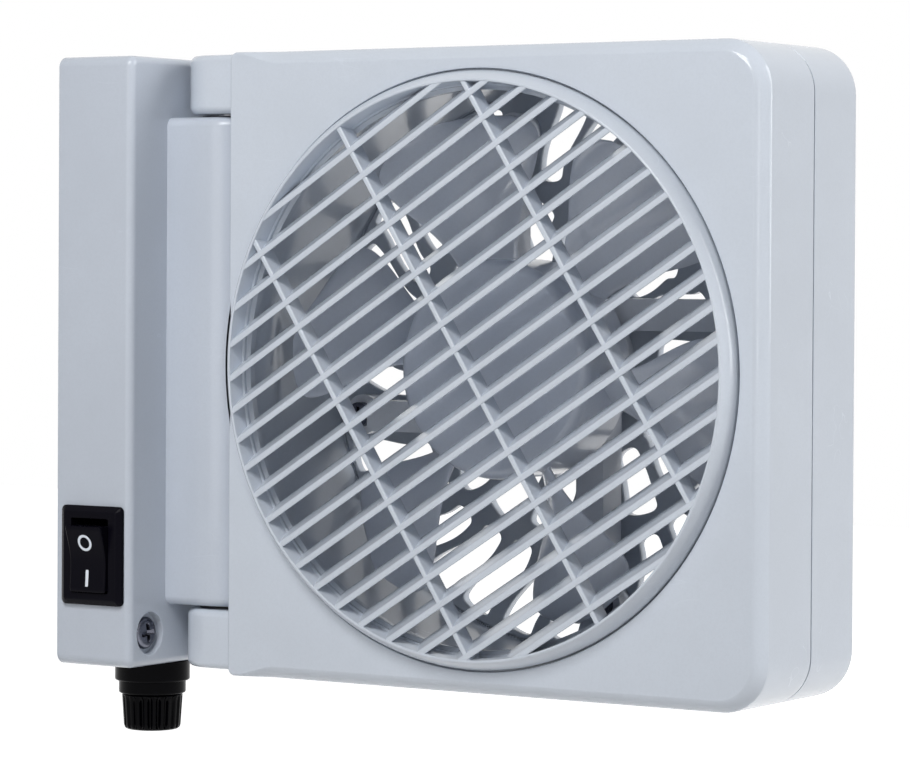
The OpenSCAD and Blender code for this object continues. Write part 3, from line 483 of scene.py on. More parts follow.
# %% [markdown]
# ## Base housing
# The base is a narrow upright box, open towards the bulkhead, and its middle is a hair higher
# than the head's. Its front face carries the switch, its right side has a round recess low at
# the front and another one high at the back, each with a pan-head screw. One skin runs round the
# box, with an opening for the switch and one for the fuse holder; the right side is a flat plate
# with two holes.

# %% Base housing
BASE_W, BASE_Y, BASE_Z, BASE_UP = 0.0193, 0.0205, 0.0633, 0.00025
SWITCH = np.array([0.0099, 0, BASE_UP - 0.0402])
FUSE = np.array([0.00965, 0.0, 0.0])
WALL, CORNER, SCREW_SEAT = 0.002, 0.0022, BASE_W - 0.0024
SWITCH_CUT, FUSE_CUT = np.array([0.0066, 0.0097]), np.array([0.0056, 0.0056])
even = np.linspace(0, 1, 12)[1:-1]
both = np.array([-1, 1])
front_cut = BASE_UP + BASE_Z - CORNER - SWITCH[2] + SWITCH_CUT[1] * both
front_cut = front_cut / (2 * (BASE_Z - CORNER))
bottom_cut = 0.5 + FUSE_CUT[1] * both / (2 * (BASE_Y - CORNER))
side = [even, even, np.sort(np.append(even, front_cut)), np.sort(np.append(even, bottom_cut))]


def base_loop(inset, x):
    """Outline of the base in Y and Z, drawn in by an inset, at one X."""
    return across(rounded(-BASE_Y, BASE_UP - BASE_Z, BASE_Y, BASE_UP + BASE_Z, CORNER, CORNER,
                          inset=inset, side=side, corner=12), x)


SIDE_EDGE = 0.0016
cut_x = np.sort(np.concatenate([SWITCH[0] + SWITCH_CUT[0] * both, FUSE[0] + FUSE_CUT[0] * both,
                                [0.0075, 0.012]]))
rows = [(CORNER, 0.0), (0.0006, 0.0), (0.0002, 0.0001), (0.0, 0.0004)] + [(0, x) for x in cut_x]
rows += [(SIDE_EDGE * (1 - np.cos(t)), BASE_W - SIDE_EDGE * (1 - np.sin(t)))
         for t in np.radians(np.arange(0, 91, 9))]
loops = [base_loop(i, x) for i, x in rows]
inner = [base_loop(WALL, x) for x in (BASE_W - WALL, *cut_x[::-1], 0.0003)]


def in_cut(p):
    """Whether points lie in the opening for the switch or in the one for the fuse holder."""
    front = (np.abs(p[:, [0, 2]] - SWITCH[[0, 2]]) < SWITCH_CUT).all(1)
    bottom = (np.abs(p[:, :2] - FUSE[:2]) < FUSE_CUT).all(1)
    near = WALL + 0.001
    return (p[:, 1] < near - BASE_Y) & front | (p[:, 2] < near + BASE_UP - BASE_Z) & bottom


def rim(us, vs, put):
    """Points round a rectangle, at its grid lines, put in space."""
    path = [(us[0], v) for v in vs[:-1]] + [(u, vs[-1]) for u in us[:-1]]
    path += [(us[-1], v) for v in vs[:0:-1]] + [(u, vs[0]) for u in us[:0:-1]]
    return np.array([put(u, v) for u, v in path])


form = Form().skin(inner + loops, skip=in_cut).lid(inner[0])
whole = base_loop(0, 0)
front_wall = whole[np.abs(whole[:, 1] + BASE_Y) < 1e-9]
bottom_wall = whole[np.abs(whole[:, 2] - BASE_UP + BASE_Z) < 1e-9]
for spot, cut, c, wall, put in (
        (SWITCH, SWITCH_CUT, 2, front_wall, lambda u, v, d: (u, d - BASE_Y, v)),
        (FUSE, FUSE_CUT, 1, bottom_wall, lambda u, v, d: (u, v, BASE_UP - BASE_Z + d))):
    us = cut_x[np.abs(cut_x - spot[0]) < cut[0] + 1e-6]
    vs = np.sort(wall[:, c][np.abs(wall[:, c] - spot[c]) < cut[1] + 1e-6])
    form.skin([rim(us, vs, lambda u, v: put(u, v, d)) for d in (0, WALL)])
recesses = []
BASE_SCREWS = [(-0.0135, BASE_UP - 0.0564), (0.0135, BASE_UP + 0.0564)]
for y, z in BASE_SCREWS:
    wall = [across(circle((y, z), radius, 48), x) for radius, x in
            ((0.0047, BASE_W), (0.00445, BASE_W - 0.00008), (0.0044, BASE_W - 0.0003),
             (0.0044, SCREW_SEAT))]
    form.skin(wall).lid(wall[-1])
    recesses.append(wall[0][:, 1:])
form.plate(loops[-1][:, 1:], recesses, lambda p: across(p, BASE_W))
form.piece("base_shell", "base", ["base_housing"], "housing_plastic")

# %% [markdown]
# ## Louvre grille
# The round grille is one moulding: a lip that stands proud of the face, a skirt behind it, thin
# slats that all lean back the same way, and three cross ribs. It can be turned by hand, and here
# its slats rise to the right. The lip is a turned profile. Each slat is a small rounded outline
# carried sideways; every line of it runs until it meets the inside of the lip, which is half the
# chord at its own height.

# %% Louvre grille
TOP_Y, TURN = -0.0129, math.radians(32.4)
PITCH, FIRST_SLAT, RIB_PITCH = 0.00586, 0.00125, 0.0297


def leaning(x, y, z):
    """Turns the grille's own right and up directions by its angle and moves them to the fan."""
    c, s = math.cos(TURN), math.sin(TURN)
    return np.stack([FAN[0] + x * c - z * s, y + 0 * x, x * s + z * c], -1)


def bar(section, ends, axis):
    """Carries a section along x (a slat) or z (a rib). section holds (y, across) for each line;
    ends gives how far each line reaches both ways."""
    section = np.asarray(section, float)
    grid = []
    for k in (-1, -0.6, -0.2, 0.2, 0.6, 1):
        along = k * ends
        x, z = (along, section[:, 1]) if axis == "x" else (section[:, 1], along)
        grid.append(leaning(x, section[:, 0], z))
    return np.array(grid)


def bar_section(y0, y1, thick, shift, at, soft=0.00035):
    """Rounded parallelogram: its front edge is thick across and round, and the back edge moves
    sideways by shift."""
    h = thick / 2
    front = [(y0 + d, z) for d, z in rims(-h, h, soft, soft, 22.5)]
    b = soft * 0.6
    back = [(y1 - b, h), (y1, h - b), (y1, -h + b), (y1 - b, -h)]
    return np.array([(y, z + shift * (y - y0) / (y1 - y0) + at) for y, z in front + back])


def lip_inside(y):
    """Radius of the inside of the lip at a depth."""
    return np.interp(y, [-0.0130, -0.0092, -0.0070], [0.0573, 0.0569, 0.0560])


cone = np.linspace(0, 1, 9)[:, None]
cone = np.array([0.05933, -0.0094]) + cone * np.array([-0.00165, -0.0034]) + \
    0.00028 * np.sin(np.pi * cone) * np.array([0.9, -0.44])
lip = np.vstack([
    [(0.0566, -0.0059), (0.0566, -0.00805), (0.05905, -0.00805), (0.05925, -0.0083)], cone,
    [(0.05755, -0.01293), (0.0574, -0.0130), (0.05722, -0.0130), (0.05708, -0.01292),
     (0.0570, -0.0127), (0.0566, -0.0092), (0.0563, -0.0089), (0.0563, -0.0082),
     (0.0559, -0.0080), (0.0555, -0.0078), (0.0555, -0.0062), (0.0557, -0.0059)]])
form = Form().skin(turned(lip, FAN, "y", 240), along=True)
sections = [(bar_section(TOP_Y + 0.00005, TOP_Y + 0.0054, 0.0013, 0.00275,
                         -(FIRST_SLAT + k * PITCH)), "x") for k in range(-9, 10)]
sections += [(bar_section(TOP_Y + 0.00022, TOP_Y + 0.0048, 0.0011, 0.0, i * RIB_PITCH, 0.0003), "z")
             for i in (-1, 0, 1)]
for section, axis in sections:
    reach = np.sqrt(np.maximum(lip_inside(section[:, 0]) ** 2 - section[:, 1] ** 2, 1e-8))
    form.closed(bar(section, reach, axis))
hook = np.array([(0.0561, -0.0068), (0.0561, -0.0060), (0.0571, -0.0060), (0.0577, -0.0064),
                 (0.0577, -0.0068)])
for a in np.radians([22, 112, 202, 292]):
    t = a + np.linspace(-0.12, 0.12, 9)[:, None]
    form.closed(np.stack([FAN[0] + hook[:, 0] * np.cos(t), hook[:, 1] + 0 * t,
                          hook[:, 0] * np.sin(t)], -1))
form.piece("turning_grille", "grille", ["louvre_grille"], "housing_plastic")

# %% [markdown]
# ## Impeller
# Six broad blades grow from a drum-shaped hub with a round rim. A blade is a surface of two
# parameters: from root to tip and from the leading to the trailing edge. Its angle widens
# towards the tip and closes in a round end, its depth falls across it, and its thickness fades
# to a soft edge.

# %% Impeller
BLADES, FIRST_BLADE, BLADE_HALF = 6, 49, 19.5  # number, degrees, degrees
HUB_R, TIP_R, BLADE_BACK, BLADE_DEPTH = 0.022, 0.0525, 0.015, 0.015
HUB_FRONT, HUB_CROWN, HUB_RIM = -0.0036, 0.0008, 0.0022


def blade_span(u):
    """Share of the half angle: it widens as a squared sine, then rounds off near the tip."""
    grow = 0.5 + 0.5 * np.sin(np.pi / 2 * np.minimum(u / 0.8, 1)) ** 2
    return grow * np.sqrt(1 - 0.9 * np.clip((u - 0.78) / 0.22, 0, 1) ** 3)


def blade(angle, nu=34, nv=26):
    """Closed loops from root to tip. v runs across the blade, w is +1 on the front skin and -1 on
    the back one; the thickness is the root of one minus the eighth power of v."""
    u = np.linspace(0, 1, nu)[:, None]
    v = np.sin(np.linspace(-np.pi / 2, np.pi / 2, nv))[None, :]
    v2 = np.concatenate([v, v[:, ::-1][:, 1:-1]], 1)
    w = np.concatenate([-np.ones(nv), np.ones(nv - 2)])[None, :]
    radius = HUB_R - 0.001 + (TIP_R - HUB_R + 0.001) * u
    a = np.radians(angle + BLADE_HALF * blade_span(u) * v2)
    thick = 0.00075 * np.sqrt(np.clip(1 - np.abs(v2) ** 8, 0, 1)) * np.sqrt(1 - 0.75 * u ** 12)
    mid = BLADE_BACK - BLADE_DEPTH / 2
    lean = 0.55 + 0.45 * blade_span(u)
    y = mid - (BLADE_DEPTH / 2 - 0.0009) * v2 * lean - 0.0014 * (1 - v2 ** 2) + w * thick
    return np.stack([FAN[0] + radius * np.cos(a), y + 0 * radius, radius * np.sin(a)], -1)


form = Form()
for i in range(BLADES):
    form.closed(blade(FIRST_BLADE + i * 360 / BLADES))
r = np.linspace(0.0002, HUB_R - HUB_RIM, 14)
face = np.stack([r, HUB_FRONT + HUB_CROWN * (r / HUB_R) ** 2], -1)
t = np.radians(np.arange(10, 91, 10))
turn = np.stack([HUB_R - HUB_RIM * (1 - np.sin(t)), face[-1, 1] + HUB_RIM * (1 - np.cos(t))], -1)
hub = np.vstack([face, turn, [
    (HUB_R, 0.006), (HUB_R, 0.0138), (HUB_R - 0.0002, 0.014), (HUB_R - 0.0014, 0.014),
    (HUB_R - 0.0016, 0.0138), (HUB_R - 0.0016, 0.0044), (0.0176, 0.002), (0.0046, 0.0008),
    (0.0046, 0.0037), (0.0028, 0.0037), (0.0027, 0.0002)]])
form.closed(turned(hub, FAN, "y", 96))
form.piece("impeller_moulding", "rotor", ["impeller"], "impeller_plastic", sharp=50)

# %% [markdown]
# ## Rocker switch
# The bezel is a shallow frame with a sloped outer edge and a sharp well, on a box that reaches
# into the base. The rocker in it has a hollow face: its height falls from both ends to the
# middle as a power of the distance. The whole rocker is tilted so that its lower end is pressed
# in. The two marks lie on that face.

# %% Switch
WALL_Y, PIVOT_Y, REST_TILT = -0.0205, -0.0180, math.radians(7)
ROCKER_HALF = np.array([0.0046, 0.0069])


def face_rise(z):
    """Height of the rocker's face above its pivot: lowest in the middle, with a power law."""
    return 0.00475 + 0.00115 * (np.sqrt(z * z + 0.0006 ** 2) / ROCKER_HALF[1]) ** 1.4


def tilted(x, y, z):
    """Turns points drawn about the pivot by the rest tilt and moves them to the switch."""
    c, s = math.cos(REST_TILT), math.sin(REST_TILT)
    x, y, z = np.broadcast_arrays(x, y, z)
    return np.stack([SWITCH[0] + x, PIVOT_Y + y * c - z * s, SWITCH[2] + y * s + z * c], -1)


def frame_loop(half_w, half_h, corner, y):
    """Rounded rectangle about the switch's centre at a depth."""
    x, z = SWITCH[0], SWITCH[2]
    return at_depth(rounded(x - half_w, z - half_h, x + half_w, z + half_h, corner, corner,
                            corner=9), y)


BEZEL_W, BEZEL_H, BEZEL_Y = 0.0079, 0.0103, WALL_Y - 0.0016
rows = [frame_loop(w, h, 0.0004, y) for w, h, y in
        ((0.0062, 0.0093, -0.0085), (0.0065, 0.0096, -0.0088), (0.0065, 0.0096, WALL_Y))]
rows += [frame_loop(BEZEL_W - d, BEZEL_H - d, 0.0011 - d * 0.6, WALL_Y - y) for d, y in
         ((0.0001, 0), (0, 0.0001), (0, 0.0007), (0.0001, 0.00085), (0.0010, 0.00145),
          (0.0012, 0.00157), (0.0014, 0.0016))]
rows += [frame_loop(w, h, 0.0003, y) for w, h, y in
         ((0.00498, 0.00788, BEZEL_Y), (0.00485, 0.00775, BEZEL_Y + 0.00005),
          (0.0048, 0.0077, BEZEL_Y + 0.0002), (0.0048, 0.0077, -0.0129))]
form = Form().closed(rows)
form.piece("switch_bezel", "base", ["switch_case"], "switch_plastic")

share = np.linspace(-1, 1, 41)
under = np.array([(0.0004, 0.9), (0.0026, 0.66), (0.0026, -0.66), (0.0004, -0.9)])
rows = []
for d, x in rims(-ROCKER_HALF[0], ROCKER_HALF[0], 0.0004, 0.0004):
    z = share * (ROCKER_HALF[1] - d)
    top = -(face_rise(z) - d - 0.0003 * np.abs(share) ** 24)
    rows.append(tilted(x, np.concatenate([top, under[:, 0] - d]),
                       np.concatenate([z, under[:, 1] * ROCKER_HALF[1]])))
form = Form().closed(rows)
form.piece("rocker_button", "rocker", ["rocker"], "switch_plastic")

O_Z, I_Z, LIFT = 0.0034, -0.0040, 0.00006
form = Form()
a = np.linspace(0, 2 * np.pi, 72, endpoint=False)
rows = []
for radius, lift in ((0.00120, -0.0001), (0.00120, LIFT * 0.7), (0.00125, LIFT),
                     (0.00170, LIFT), (0.00175, LIFT * 0.7), (0.00175, -0.0001)):
    z = O_Z + radius * np.sin(a)
    rows.append(tilted(radius * np.cos(a), -(face_rise(z) + lift), z))
form.skin(rows, along=True)
rows = []
for d, lift in ((0, -0.0001), (0, LIFT * 0.7), (0.00006, LIFT)):
    bar_mark = rounded(-0.00036 + d, -0.0017 + d, 0.00036 - d, 0.0017 - d, 0.00015, 0.00015,
                       corner=5)
    z = bar_mark[:, 1] + I_Z
    rows.append(tilted(bar_mark[:, 0], -(face_rise(z) + lift), z))
form.closed(rows)
form.piece("rocker_print", "rocker", ["rocker_marks"], "white_print")

# %% [markdown]
# ## Fuse holder
# A flange in two steps sits under the base, with a barrel above it. The cap below comes off with
# a short turn and has a hollow plug that grips the fuse. The cap's grip is a wave on a turned
# profile: the radius falls between the ribs, and only between the rounded ends.

# %% Fuse holder
BOTTOM, CAP_TOP, CAP_END = BASE_UP - BASE_Z, BASE_UP - 0.0705, BASE_UP - 0.0782
PLUG_TOP, PLUG_R, RIBS, RIB_DEPTH = CAP_TOP + 0.0078, 0.0044, 22, 0.00032


def soft_corner(x, z, radius, turn, steps=5):
    """Quarter circle in a profile that rounds the corner at (x, z); turn is its start angle."""
    t = np.radians(np.linspace(turn, turn + 90, steps))
    s = np.radians(turn + 45)
    c = (x - radius * np.sign(np.cos(s)), z - radius * np.sign(np.sin(s)))
    return np.stack([c[0] + radius * np.cos(t), c[1] + radius * np.sin(t)], -1)


BARREL_TOP, FLANGE_TOP, FLANGE_R, STEP_R = -0.04751, BOTTOM - 0.00005, 0.00795, 0.0071
profile = np.vstack([
    [(0.0042, BARREL_TOP), (0.0057, BARREL_TOP), (0.0060, BARREL_TOP - 0.0003)],
    [(0.0060, FLANGE_TOP), (FLANGE_R - 0.0003, FLANGE_TOP)],
    soft_corner(FLANGE_R, FLANGE_TOP, 0.0003, 0)[::-1],
    soft_corner(FLANGE_R, BOTTOM - 0.0045, 0.0004, 270)[::-1],
    [(STEP_R, BOTTOM - 0.0046)], soft_corner(STEP_R, CAP_TOP, 0.00035, 270)[::-1],
    [(0.0048, CAP_TOP), (0.0046, CAP_TOP + 0.0002), (0.0046, BARREL_TOP - 0.0020),
     (0.0042, BARREL_TOP - 0.0018)]])
form = Form().skin(turned(profile, FUSE, "z", 96), along=True)
form.piece("fuse_flange", "base", ["fuse_holder_body"], "black_plastic")


def ribbed(radius, angle, profile):
    """Lowers the radius between the ribs. The rib is a flattened cosine, and the depth fades to
    nothing at the top and bottom of the grip."""
    z = profile[:, 1:]
    wave = np.clip(np.cos(RIBS * angle) * 1.6 + 0.35, -1, 1)
    upper = np.clip((CAP_TOP - 0.0006 - z) / 0.0005, 0, 1)
    lower = np.clip((z - CAP_END - 0.0003) / 0.0006, 0, 1)
    return radius - RIB_DEPTH * (1 - wave) * upper * lower * (radius > PLUG_R + 0.0001)


grip = np.linspace(CAP_TOP - 0.0005, CAP_END + 0.0009, 14)
grip_r = 0.00645 - 0.0005 * (CAP_TOP - grip) / (CAP_TOP - CAP_END)
profile = np.vstack([
    [(0.00275, CAP_END + 0.004), (0.00275, PLUG_TOP - 0.0002), (0.0029, PLUG_TOP),
     (PLUG_R - 0.0002, PLUG_TOP), (PLUG_R, PLUG_TOP - 0.0003), (PLUG_R, CAP_TOP - 0.00012)],
    [(0.00610, CAP_TOP - 0.00012), (0.00635, CAP_TOP - 0.00025)], np.stack([grip_r, grip], -1),
    [(0.00580, CAP_END + 0.00035), (0.00545, CAP_END + 0.00008), (0.0050, CAP_END),
     (0.0042, CAP_END), (0.0040, CAP_END + 0.00015), (0.0014, CAP_END + 0.00015),
     (0.0001, CAP_END + 0.00015)]])
form = Form().closed(turned(profile, FUSE, "z", 16 * RIBS, ribbed))
form.piece("fuse_cap_grip", "fuse_cap", ["fuse_cap"], "black_plastic", sharp=50)

# %% [markdown]
# ## Cross-recessed screws
# The head of a screw is a height over a disc: a low dome, less the depth of two crossed wings
# whose walls are steep and whose floor slopes up to their ends.

# %% Screws
def cross_depth(x, y, size):
    """Depth of the recess at a point: the deeper of two wings. Each wing is a steep step across
    its width times a slope along its length."""
    def wing(along, aside):
        wall = np.clip((0.15 * size - np.abs(aside)) / (0.035 * size), 0, 1)
        return wall * np.clip((0.62 * size - np.abs(along)) / (0.30 * size), 0, 1)
    return 0.36 * size * np.maximum(wing(x, y), wing(y, x))


def screw(head_r, head_h, shank_r, shank_l, spin, steps=112):
    """Rows of a pan-head screw about its own axis: (a, b, height above the underside)."""
    t = np.linspace(0, 2 * np.pi, steps, endpoint=False)
    top = np.concatenate([[0.02], np.linspace(0.05, 0.76, 34), [0.84, 0.9]]) * head_r
    rows = []
    for rad in top:
        a, b = rad * np.cos(t), rad * np.sin(t)
        dome = head_h * (1 - 0.22 * (rad / head_r) ** 2 - 0.1 * (rad / head_r) ** 8)
        rows.append((a, b, dome - cross_depth(a, b, head_r)))
    below = [(rad * head_r, h * head_h) for rad, h in
             ((0.955, 0.66), (0.99, 0.56), (1.0, 0.42), (1.0, 0.06), (0.97, 0.0))]
    for rad, h in below + [(shank_r, 0.0), (shank_r, -shank_l)]:
        rows.append((rad * np.cos(t), rad * np.sin(t), np.full(steps, h)))
    a, b, height = np.array(rows).transpose(1, 0, 2)
    c, s = math.cos(spin), math.sin(spin)
    return np.stack([a * c - b * s, a * s + b * c, height], -1)


form = Form()
for (y, z), spin in zip(BASE_SCREWS, (0.12, 0.9)):
    g = screw(head_r=0.00335, head_h=0.0020, shank_r=0.0014, shank_l=0.012, spin=spin)
    form.closed(np.stack([SCREW_SEAT + g[..., 2], y + g[..., 0], z + g[..., 1]], -1))
form.piece("base_screw_pair", "base", ["base_screws"], "screw_steel", sharp=30)
form = Form()
for (x, z), spin in zip(SHELL_SCREWS, (0.3, 0.7, 0.1, 1.1)):
    g = screw(head_r=0.0028, head_h=0.0022, shank_r=0.00125, shank_l=0.016, spin=spin)
    form.closed(np.stack([x + g[..., 0], WELL_FLOOR + g[..., 2], z + g[..., 1]], -1))
form.piece("shell_screw_set", "head", ["shell_screws"], "steel", sharp=30)

# %% [markdown]
# ## Mounting plate
# A flat plate closes the base towards the bulkhead. It has two holes for screws and one for the
# supply wires; its rims are softened like the rest of the moulding.

# %% Mounting plate
lo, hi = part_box("mounting_plate")
PLATE_RIM = 0.0003


def plate_loop(inset, x):
    """Outline of the plate in Y and Z at one X."""
    return across(rounded(lo[1], lo[2], hi[1], hi[2], 0.001, 0.001, inset=inset, side=side,
                          corner=8), x)


form = Form().skin([plate_loop(i, x) for i, x in rims(lo[0], hi[0], PLATE_RIM, PLATE_RIM, 30)])
holes = []
for z, radius in ((-0.045, 0.0022), (0.045, 0.0022), (0.012, 0.004)):
    walls = [across(circle((0, z), radius + grow, 48), x) for grow, x in
             ((0.0002, lo[0]), (0, lo[0] + 0.0002), (0, hi[0] - 0.0002), (0.0002, hi[0]))]
    form.skin(walls)
    holes.append(walls[0][:, 1:])
for x in (lo[0], hi[0]):
    form.plate(plate_loop(PLATE_RIM, x)[:, 1:], holes, lambda p: across(p, x))
form.piece("wall_plate", "base", ["mounting_plate"], "housing_plastic")

# %% [markdown]
# ## Shader maths
# Materials are built from sockets. A socket can be added, subtracted or multiplied like a number,
# and each of those makes one maths node, so a formula for colour or height reads as a formula.

# %% Sockets and finishes
class Socket:
    """One output of a shader node, with the usual signs of arithmetic."""

    def __init__(self, finish, out):
        self.finish, self.out = finish, out

    def maths(self, operation, *terms):
        """One maths node, whose inputs are the terms in order."""
        return self.finish.node("Math", dict(operation=operation), dict(enumerate(terms)))

    def __add__(self, other): return self.maths("ADD", self, other)
    def __radd__(self, other): return self.maths("ADD", other, self)
    def __sub__(self, other): return self.maths("SUBTRACT", self, other)
    def __rsub__(self, other): return self.maths("SUBTRACT", other, self)
    def __mul__(self, other): return self.maths("MULTIPLY", self, other)

    def step(self, low, high):
        """Rises smoothly from 0 at low to 1 at high."""
        return self.finish.node("MapRange", dict(interpolation_type="SMOOTHSTEP"),
                                {"Value": self, "From Min": low, "From Max": high})


class Finish:
    """A material with one Principled shader. Values that never change are set on its sockets."""

    def __init__(self, name, **constants):
        self.material = bpy.data.materials.new(name)
        self.material.use_nodes = True
        self.tree = self.material.node_tree
        self.shader = self.tree.nodes["Principled BSDF"]
        for key, value in constants.items():
            self.set(key, value)
        self.place = self.node("TexCoord", out="Object")

    def node(self, kind, settings=None, inputs=None, out=0):
        """Adds any node: its settings, then its inputs, as values or as other sockets."""
        made = self.tree.nodes.new("ShaderNode" + kind)
        for key, value in (settings or {}).items():
            setattr(made, key, value)
        for key, value in (inputs or {}).items():
            if isinstance(value, Socket):
                self.tree.links.new(value.out, made.inputs[key])
            else:
                made.inputs[key].default_value = value
        return Socket(self, made.outputs[out])

    def set(self, key, value):
        """Gives a shader input a constant or a socket; underscores stand for spaces."""
        socket = self.shader.inputs[key.replace("_", " ")]
        if isinstance(value, Socket):
            self.tree.links.new(value.out, socket)
        else:
            socket.default_value = value

    def noise(self, size, detail=3.0, rough=0.5, stretch=(1, 1, 1)):
        """Noise from 0 to 1 whose patches are about size metres across, longer along stretch."""
        scale = [1 / (size * k) for k in stretch]
        where = self.node("Mapping", inputs={"Vector": self.place, "Scale": scale})
        return self.node("TexNoise", inputs={"Vector": where, "Scale": 1.0, "Detail": detail,
                                             "Roughness": rough})

    def scratches(self, size, stretch):
        """Thin lines where stretched noise passes its middle value, from 0 to 1."""
        band = self.noise(size, 1.0, 0.5, stretch) - 0.5
        return 1 - band.maths("ABSOLUTE", band).step(0.002, 0.012)

    def blend(self, share, a, b):
        """Colour between a and b. A mix node has sockets of its own for colours: 6, 7 and, at
        its output, 2."""
        a, b = [c if isinstance(c, Socket) else (*c, 1.0) for c in (a, b)]
        return self.node("Mix", dict(data_type="RGBA"), {0: share, 6: a, 7: b}, out=2)

    def bump(self, height, depth):
        """Bends the normal by a height field that spans depth metres."""
        self.set("Normal", self.node("Bump", inputs={"Height": height, "Distance": depth,
                                                     "Strength": 1.0}, out="Normal"))


def rgb(red, green, blue):
    """An sRGB colour of 0 to 255 as linear light."""
    v = np.array([red, green, blue]) / 255
    return tuple(float(k) for k in np.where(v <= 0.04045, v / 12.92, ((v + 0.055) / 1.055) ** 2.4))


def shade(colour, k):
    """A colour made lighter or darker by a factor."""
    return tuple(float(np.clip(c * k, 0, 1)) for c in colour)

# %% [markdown]
# ## Plastics
# The housing is spark-eroded moulded plastic: a fine grain breaks up its highlights, slow clouds
# change its tone by a percent or two, and there are faint scuffs. The base gets a darker copy of
# the housing plastic, painted shade; the impeller and the motor's mount get lighter copies,
# painted light. The switch and the fuse holder are black and glossier.

# %% Plastics
def moulded(name, colour, rough, depth=0.000006, clouds=0.018, shine=0.5, coat=0.0):
    """Moulded plastic of one colour with a fine grain of a given depth; coat adds a thin gloss."""
    grain = 0.00022
    m = Finish(name, IOR=1.49, Specular_IOR_Level=shine, Coat_Weight=coat, Coat_Roughness=0.10)
    cloud = m.noise(0.022, 3.0, 0.55)
    fleck = m.noise(grain * 2.2, 2.0, 0.6)
    scuff = m.scratches(0.004, (7, 1, 1)) * m.noise(0.012, 1.0).step(0.55, 0.75)
    tone = m.blend(cloud.step(0.3, 0.7), shade(colour, 1 - clouds), shade(colour, 1 + clouds))
    tone = m.blend(fleck.step(0.35, 0.75) * 0.35, tone, shade(colour, 0.93))
    m.set("Base Color", m.blend(scuff * 0.12, tone, shade(colour, 1.08)))
    m.set("Roughness", rough + (cloud - 0.5) * 0.07 + (fleck - 0.5) * 0.08 + scuff * 0.06)
    m.bump(m.noise(grain, 2.0, 0.6) * 0.6 + m.noise(0.006, 1.0) * 0.9, depth * 2)
    return m.material


SATIN = dict(depth=0.000003, shine=0.2, coat=0.4)
PLASTICS = {
    "housing_plastic": (rgb(199, 206, 216), 0.24, SATIN),
    # A darker copy of the housing plastic for the base: painted shade where the head shades the
    # base.
    "shaded_base_plastic": (rgb(189, 196, 207), 0.24, SATIN),
    # A lighter copy of the housing plastic for the motor's mount: painted light on arms that sit in
    # shade.
    "lit_mount_plastic": (rgb(236, 240, 247), 0.22, dict(depth=0.000003, shine=0.4)),
    # The impeller gets a lighter copy of the housing plastic: painted light on the blades inside
    # the head.
    "impeller_plastic": (rgb(226, 232, 243), 0.24, dict(SATIN, coat=0.5)),
    "black_plastic": (rgb(3, 3, 6), 0.14, dict(depth=0.0000015, shine=0.05)),
    "switch_plastic": (rgb(10, 9, 17), 0.26, dict(depth=0.000003, shine=0.04)),
    "terminal_plastic": (rgb(222, 220, 210), 0.42, {}),
    "nylon": (rgb(232, 229, 216), 0.48, dict(clouds=0.03)),
}
MATERIALS = {name: moulded(name, colour, rough, **rest)
             for name, (colour, rough, rest) in PLASTICS.items()}

# %% [markdown]
# ## Metals, rubber, print and the parts inside
# Turned and plated parts get fine lines around or along them, darker stains and a changing
# gloss. Windings show their wire as waves, and the iron core shows its thin sheets.

# %% Metals and the rest
def metal(name, colour, rough, lines=(1, 1, 9), stain=(0.6, 0.62, 0.66)):
    """Plated metal with drawn lines, small pits and faint stains."""
    m = Finish(name, Metallic=1.0)
    line = m.noise(0.0004, 2.0, 0.6, lines)
    patch = m.noise(0.003, 3.0, 0.6)
    dull = patch.step(0.52, 0.72)
    clean = m.blend(line.step(0.3, 0.7), shade(colour, 0.94), shade(colour, 1.04))
    m.set("Base Color", m.blend(dull * 0.4, clean, [a * b for a, b in zip(colour, stain)]))
    m.set("Roughness", rough + line * 0.10 + dull * 0.12)
    m.bump(line * 0.5 + m.noise(0.00015, 1.0) * 0.3, 0.000003)
    return m.material


def rubbery(name, colour, rough=0.62, dust=0.2):
    """Soft dark surface with a dull bloom in patches."""
    m = Finish(name, IOR=1.5)
    bloom = m.noise(0.003, 4.0, 0.6)
    m.set("Base Color", m.blend(bloom.step(0.45, 0.8) * dust, colour, shade(colour, 3.0)))
    m.set("Roughness", rough + bloom * 0.15)
    m.bump(m.noise(0.0003, 3.0), 0.00001)
    return m.material


def print_ink():
    """White printed ink, a little uneven, through which the black plastic shows in pin holes."""
    m = Finish("white_print", IOR=1.5)
    thin = m.noise(0.0006, 3.0, 0.6)
    m.set("Base Color", m.blend(thin.step(0.62, 0.8) * 0.25, rgb(226, 232, 241),
                                rgb(150, 152, 160)))
    m.set("Roughness", 0.42 + thin * 0.15)
    m.bump(thin, 0.000004)
    return m.material


def fuse_glass():
    """Thin clear glass with a faint haze."""
    m = Finish("glass", IOR=1.5, Transmission_Weight=1.0)
    haze = m.noise(0.002, 3.0, 0.5)
    m.set("Base Color", m.blend(haze, (0.93, 0.97, 0.97), (0.98, 1.0, 1.0)))
    m.set("Roughness", 0.02 + haze * 0.06)
    return m.material


def layered(name, dark, light, pitch, axis, rough, metallic):
    """Stacked or wound material: a wave across one axis gives both its colour and its height."""
    m = Finish(name, Metallic=metallic)
    phase = m.node("SeparateXYZ", inputs={0: m.place}, out=axis) * (2 * math.pi / pitch)
    wave = phase.maths("SINE", phase)
    spread = m.noise(0.002, 3.0)
    share = wave * 0.35 + 0.5 + (spread - 0.5) * 0.5
    m.set("Base Color", m.blend(share.step(0.0, 1.0), dark, light))
    m.set("Roughness", rough + spread * 0.2)
    m.bump(wave * 0.5, pitch * 0.12)
    return m.material


